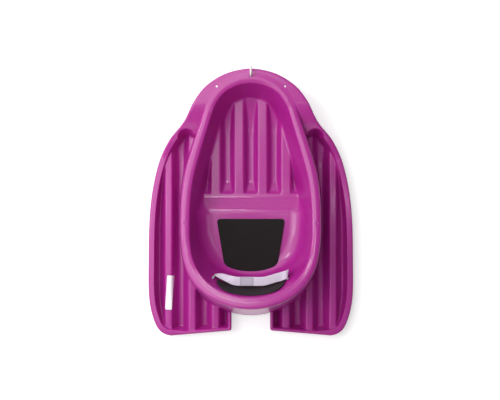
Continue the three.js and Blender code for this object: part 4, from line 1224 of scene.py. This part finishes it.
# Fibres or foam cells: fine grain at a scale given in grains for each metre
def buildGrain(tree, given, out):
    cells = addNode(tree, "TexVoronoi", {"Vector": given["Vector"], "Scale": given["Cells"]})
    cells = cells.outputs["Distance"]
    fine = addNoise(tree, given["Vector"], given["Fibres"], 3.0, 0.65)
    height = doMath(tree, "MULTIPLY_ADD", cells, given["Depth"], fine)
    cloud = addNoise(tree, given["Vector"], 24.0, 3.0, 0.6)
    tree.links.new(height, out["Height"])
    tone = doMath(tree, "MULTIPLY_ADD", fine, 0.5, doMath(tree, "MULTIPLY", cloud, 0.5))
    tree.links.new(tone, out["Tone"])


mouldSkin = makeGroup("mouldSkin", {"Vector": None, "Ripple Scale": 45.0, "Peel Scale": 420.0, "Peel": 0.12},
                      ("Height", "Tone"), buildSkin)
wearMarks = makeGroup("wearMarks", {"Vector": None, "Amount": 1.0}, ("Scratches", "Rubbed"), buildWear)
weave = makeGroup("weave", {"Vector": None, "Rib": 1.6, "Pick": 1.3}, ("Height", "Tone"), buildWeave)
grain = makeGroup("grain", {"Vector": None, "Cells": 900.0, "Fibres": 2400.0, "Depth": 0.6},
                  ("Height", "Tone"), buildGrain)


def placeGroup(tree, group, links):
    made = tree.nodes.new("ShaderNodeGroup")
    made.node_tree = group
    feed(tree, made.inputs, links)
    return made.outputs


def newMaterial(name, values):
    material = bpy.data.materials.new(name)
    material.use_nodes = True
    tree = material.node_tree
    shader = tree.nodes["Principled BSDF"]
    feed(tree, shader.inputs, values)
    return material, tree, shader


def onObject(tree):
    return addNode(tree, "TexCoord").outputs["Object"]


def mixColours(tree, share, low, high):
    return addNode(tree, "Mix", {0: share, 6: low, 7: high}, data_type="RGBA").outputs[2]


def bumpInto(tree, shader, height, strength, distance):
    bump = addNode(tree, "Bump", {"Strength": strength, "Distance": distance, "Height": height})
    tree.links.new(bump.outputs["Normal"], shader.inputs["Normal"])


# The part of a group's tone, from low to high, that drives roughness and soil
toneSpread = (0.3, 0.7)

# Glossy moulded plastic, with the slight glow of thin coloured polyethylene
plastic = {
    "low": (0.37, 0.006, 0.235, 1), "high": (0.40, 0.009, 0.265, 1), "scratch": (0.50, 0.05, 0.36, 1),
    "shader": {"Specular IOR Level": 0.55, "Coat Weight": 0.4, "Coat Roughness": 0.1,
               "Subsurface Weight": 0.25, "Subsurface Scale": 0.01,
               "Subsurface Radius": (1.0, 0.12, 0.4), "IOR": 1.5},
    "rough": (0.46, 0.51), "rubbedRough": 0.08, "scratchRough": 0.5,
    "peel": 0.12, "wear": 0.22, "bump": (0.12, 0.0012),
}

# The blank plate: white film with a satin face
film = {
    "low": (0.78, 0.77, 0.78, 1), "high": (0.86, 0.85, 0.86, 1), "scratch": (0.55, 0.54, 0.56, 1),
    "peel": 0.3, "wear": 0.5, "bump": (0.06, 0.001), "shader": {"Roughness": 0.38, "Specular IOR Level": 0.4},
}


# A smooth skin whose tone lies between two colours, with scratches and rubbed patches over it
def makeSkinned(name, values):
    material, tree, shader = newMaterial(name, values["shader"])
    place = onObject(tree)
    skin = placeGroup(tree, mouldSkin, {"Vector": place, "Peel": values["peel"]})
    wear = placeGroup(tree, wearMarks, {"Vector": place, "Amount": values["wear"]})
    base = mixColours(tree, skin["Tone"], values["low"], values["high"])
    colour = mixColours(tree, wear["Scratches"], base, values["scratch"])
    tree.links.new(colour, shader.inputs["Base Color"])
    if "rough" in values:
        rough = rescale(tree, skin["Tone"], *toneSpread, *values["rough"])
        rough = doMath(tree, "MULTIPLY_ADD", wear["Rubbed"], values["rubbedRough"], rough)
        scratched = doMath(tree, "MULTIPLY", wear["Scratches"], values["scratchRough"])
        tree.links.new(doMath(tree, "MAXIMUM", rough, scratched), shader.inputs["Roughness"])
    bumpInto(tree, shader, skin["Height"], *values["bump"])
    return material


# Woven straps: the belt's pale webbing and the coil's dark tie. The free end is soiled most
cloth = {
    # The webbing is white; the pink-lavender tint of its low and high colours is a painted reflection of the
    # pink shell.
    "webbing": {"low": (0.42, 0.36, 0.45, 1), "high": (0.86, 0.74, 0.90, 1), "rib": 1.55, "pick": 1.2,
                "bump": 0.55, "shader": {"Roughness": 0.7, "Specular IOR Level": 0.3, "Sheen Weight": 0.25,
                                         "Sheen Roughness": 0.4}},
    "tie": {"low": (0.012, 0.012, 0.013, 1), "high": (0.035, 0.034, 0.036, 1), "rib": 1.2, "pick": 0.9,
            "bump": 0.5, "shader": {"Roughness": 0.75, "Specular IOR Level": 0.3, "Sheen Weight": 0.15}},
    "cloud": 60.0, "soiled": 0.22, "endSoiled": 0.8, "reach": 0.0003,
}


def makeCloth(name, values, endFrom=None):
    material, tree, shader = newMaterial(name, values["shader"])
    laid = addNode(tree, "UVMap", uv_map="UVMap").outputs["UV"]
    threads = placeGroup(tree, weave, {"Vector": laid, "Rib": values["rib"], "Pick": values["pick"]})
    soil = placeGroup(tree, grain, {"Vector": onObject(tree), "Cells": cloth["cloud"]})
    colour = mixColours(tree, threads["Tone"], values["low"], values["high"])
    shades = [rescale(tree, soil["Tone"], *toneSpread, 0.0, cloth["soiled"])]
    if endFrom is not None:
        along = addNode(tree, "SeparateXYZ", {"Vector": laid}).outputs["Y"]
        shades.append(rescale(tree, along, endFrom - 1, endFrom, 0.0, cloth["endSoiled"]))
    for shade in shades:
        colour = mixColours(tree, shade, colour, values["low"])
    tree.links.new(colour, shader.inputs["Base Color"])
    bumpInto(tree, shader, threads["Height"], values["bump"], cloth["reach"])
    return material


# Nearly black closed-cell foam, hook-and-loop pile, braided rope and sewing thread share the grain
foamShader = {"Specular IOR Level": 0.22, "Sheen Weight": 0.0}
foamGrain = {"Cells": 750.0, "Fibres": 1900.0, "Depth": 0.8}
grained = {
    # The seat foam is a darker copy of the back foam: the difference is painted shade on the seat pad.
    "seatFoam": {"low": (0.008, 0.0062, 0.0065, 1), "high": (0.013, 0.0105, 0.011, 1),
                 "grain": foamGrain, "rough": (0.72, 0.9), "bump": (0.5, 0.0004), "shader": foamShader},
    "backFoam": {"low": (0.019, 0.014, 0.0165, 1), "high": (0.03, 0.022, 0.026, 1),
                 "grain": foamGrain, "rough": (0.72, 0.9), "bump": (0.5, 0.0004), "shader": foamShader},
    "pileFibre": {"low": (0.38, 0.38, 0.43, 1), "high": (0.66, 0.66, 0.72, 1),
                  "grain": {"Cells": 1400.0, "Fibres": 3200.0, "Depth": 0.9},
                  "bump": (0.8, 0.0003),
                  "shader": {"Roughness": 0.85, "Specular IOR Level": 0.2, "Sheen Weight": 0.4}},
    "ropeFibre": {"low": (0.62, 0.60, 0.57, 1), "high": (0.86, 0.84, 0.82, 1),
                  "grain": {"Cells": 1100.0, "Fibres": 3200.0, "Depth": 0.9},
                  "bump": (0.45, 0.0003),
                  "shader": {"Roughness": 0.65, "Specular IOR Level": 0.3, "Sheen Weight": 0.2}},
    # Dark thread: real sewing, and also painted shade along the flap's free edge and its step.
    "sewingThreadAndShade": {"low": (0.10, 0.10, 0.13, 1), "high": (0.20, 0.20, 0.25, 1),
                     "grain": {"Cells": 1600.0, "Fibres": 3200.0, "Depth": 0.9},
                     "bump": (0.3, 0.0003), "shader": {"Roughness": 0.6, "Specular IOR Level": 0.3}},
}


def makeGrained(name):
    values = grained[name]
    material, tree, shader = newMaterial(name, values["shader"])
    cells = placeGroup(tree, grain, {"Vector": onObject(tree), **values["grain"]})
    colour = mixColours(tree, cells["Tone"], values["low"], values["high"])
    tree.links.new(colour, shader.inputs["Base Color"])
    if "rough" in values:
        rough = rescale(tree, cells["Tone"], *toneSpread, *values["rough"])
        tree.links.new(rough, shader.inputs["Roughness"])
    bumpInto(tree, shader, cells["Height"], *values["bump"])
    return material


flapUv = np.array([corner.uv for corner in beltRight.data.uv_layers["UVMap"].data])
flapEnd = float(flapUv[:, 1].max()) - (belt["overlap"][1] - belt["overlap"][0])
finishes = [
    (makeSkinned("magentaPlastic", plastic), [sledBody]),
    (makeGrained("seatFoam"), [seatFoam]),
    (makeGrained("backFoam"), [backFoam]),
    (makeCloth("webbingCloth", cloth["webbing"]), [beltLeft]),
    (makeCloth("flapCloth", cloth["webbing"], flapEnd), [beltRight]),
    (makeGrained("pileFibre"), [loopTape, hookTape]),
    (makeGrained("sewingThreadAndShade"), [beltSewing]),
    (makeGrained("ropeFibre"), [towRope, stopperKnot, endKnot]),
    (makeCloth("tieCloth", cloth["tie"]), [coilTie]),
    (makeSkinned("plateFilm", film), [blankPlate]),
]
for material, pieces in finishes:
    for piece in pieces:
        piece.data.materials.clear()
        piece.data.materials.append(material)
print("materials ready")


# Studio: soft boxes round the sled, small windows and strips for the highlights, and a pale floor
studio = {
    "lamps": {
        "softBox": ((-0.95, 0.5, 2.9), (2.2, 2.0), 42.0),
        "leftPanel": ((-2.2, 0.0, 1.0), (3.0, 1.8), 24.0),
        "frontPanel": ((-0.6, 2.3, 1.1), (2.6, 1.6), 18.0),
        "rearPanel": ((-0.3, -2.2, 1.6), (1.8, 1.0), 12.0),
        "window": ((-1.5, 1.0, 1.8), (0.45, 0.45), 14.0),
        "frontWindow": ((-0.15, 1.3, 2.35), (0.3, 0.3), 7.0),
        "leftStrip": ((-1.5, 0.0, 2.3), (0.2, 1.4), 7.0),
        "rightStrip": ((0.95, 0.0, 2.7), (0.12, 1.8), 3.5),
    },
    "aim": (0, 0, 0.05), "floor": 1.75, "floorGlow": 0.45, "sky": 0.15,
    "paper": {"Base Color": (0.8, 0.8, 0.8, 1), "Roughness": 0.9, "Specular IOR Level": 0.0,
              "Emission Color": (1, 1, 1, 1)},
}


def addLamp(name, place, size, watts):
    data = bpy.data.lights.new(name, "AREA")
    data.shape = "RECTANGLE"
    data.size, data.size_y = size
    data.energy = watts
    lamp = bpy.data.objects.new(name, data)
    lamp.location = place
    lamp.visible_camera = False
    lamp.rotation_euler = (Vector(studio["aim"]) - Vector(place)).to_track_quat("-Z", "Y").to_euler()
    scene.collection.objects.link(lamp)


# 1 for rays from the camera, off a glossy surface or through a clear one, else 0
def seenRays(tree):
    path = addNode(tree, "LightPath").outputs
    seen = doMath(tree, "MAXIMUM", path["Is Camera Ray"], path["Is Glossy Ray"])
    return doMath(tree, "MAXIMUM", seen, path["Is Transmission Ray"])


def makeFloor():
    half = studio["floor"]
    corners = [(-half, -half, 0), (half, -half, 0), (half, half, 0), (-half, half, 0)]
    floor = addPiece("floor", corners, [(0, 1, 2, 3)])
    material, tree, shader = newMaterial("paper", studio["paper"])
    glow = doMath(tree, "MULTIPLY", seenRays(tree), studio["floorGlow"])
    tree.links.new(glow, shader.inputs["Emission Strength"])
    floor.data.materials.append(material)


def makeSky():
    world = scene.world or bpy.data.worlds.new("world")
    scene.world = world
    world.use_nodes = True
    tree = world.node_tree
    background = tree.nodes["Background"]
    background.inputs["Color"].default_value = (1, 1, 1, 1)
    camera = addNode(tree, "LightPath").outputs["Is Camera Ray"]
    tree.links.new(rescale(tree, camera, 0.0, 1.0, studio["sky"], 1.0), background.inputs["Strength"])


for name, values in studio["lamps"].items():
    addLamp(name, *values)
makeFloor()
makeSky()
print("studio ready")
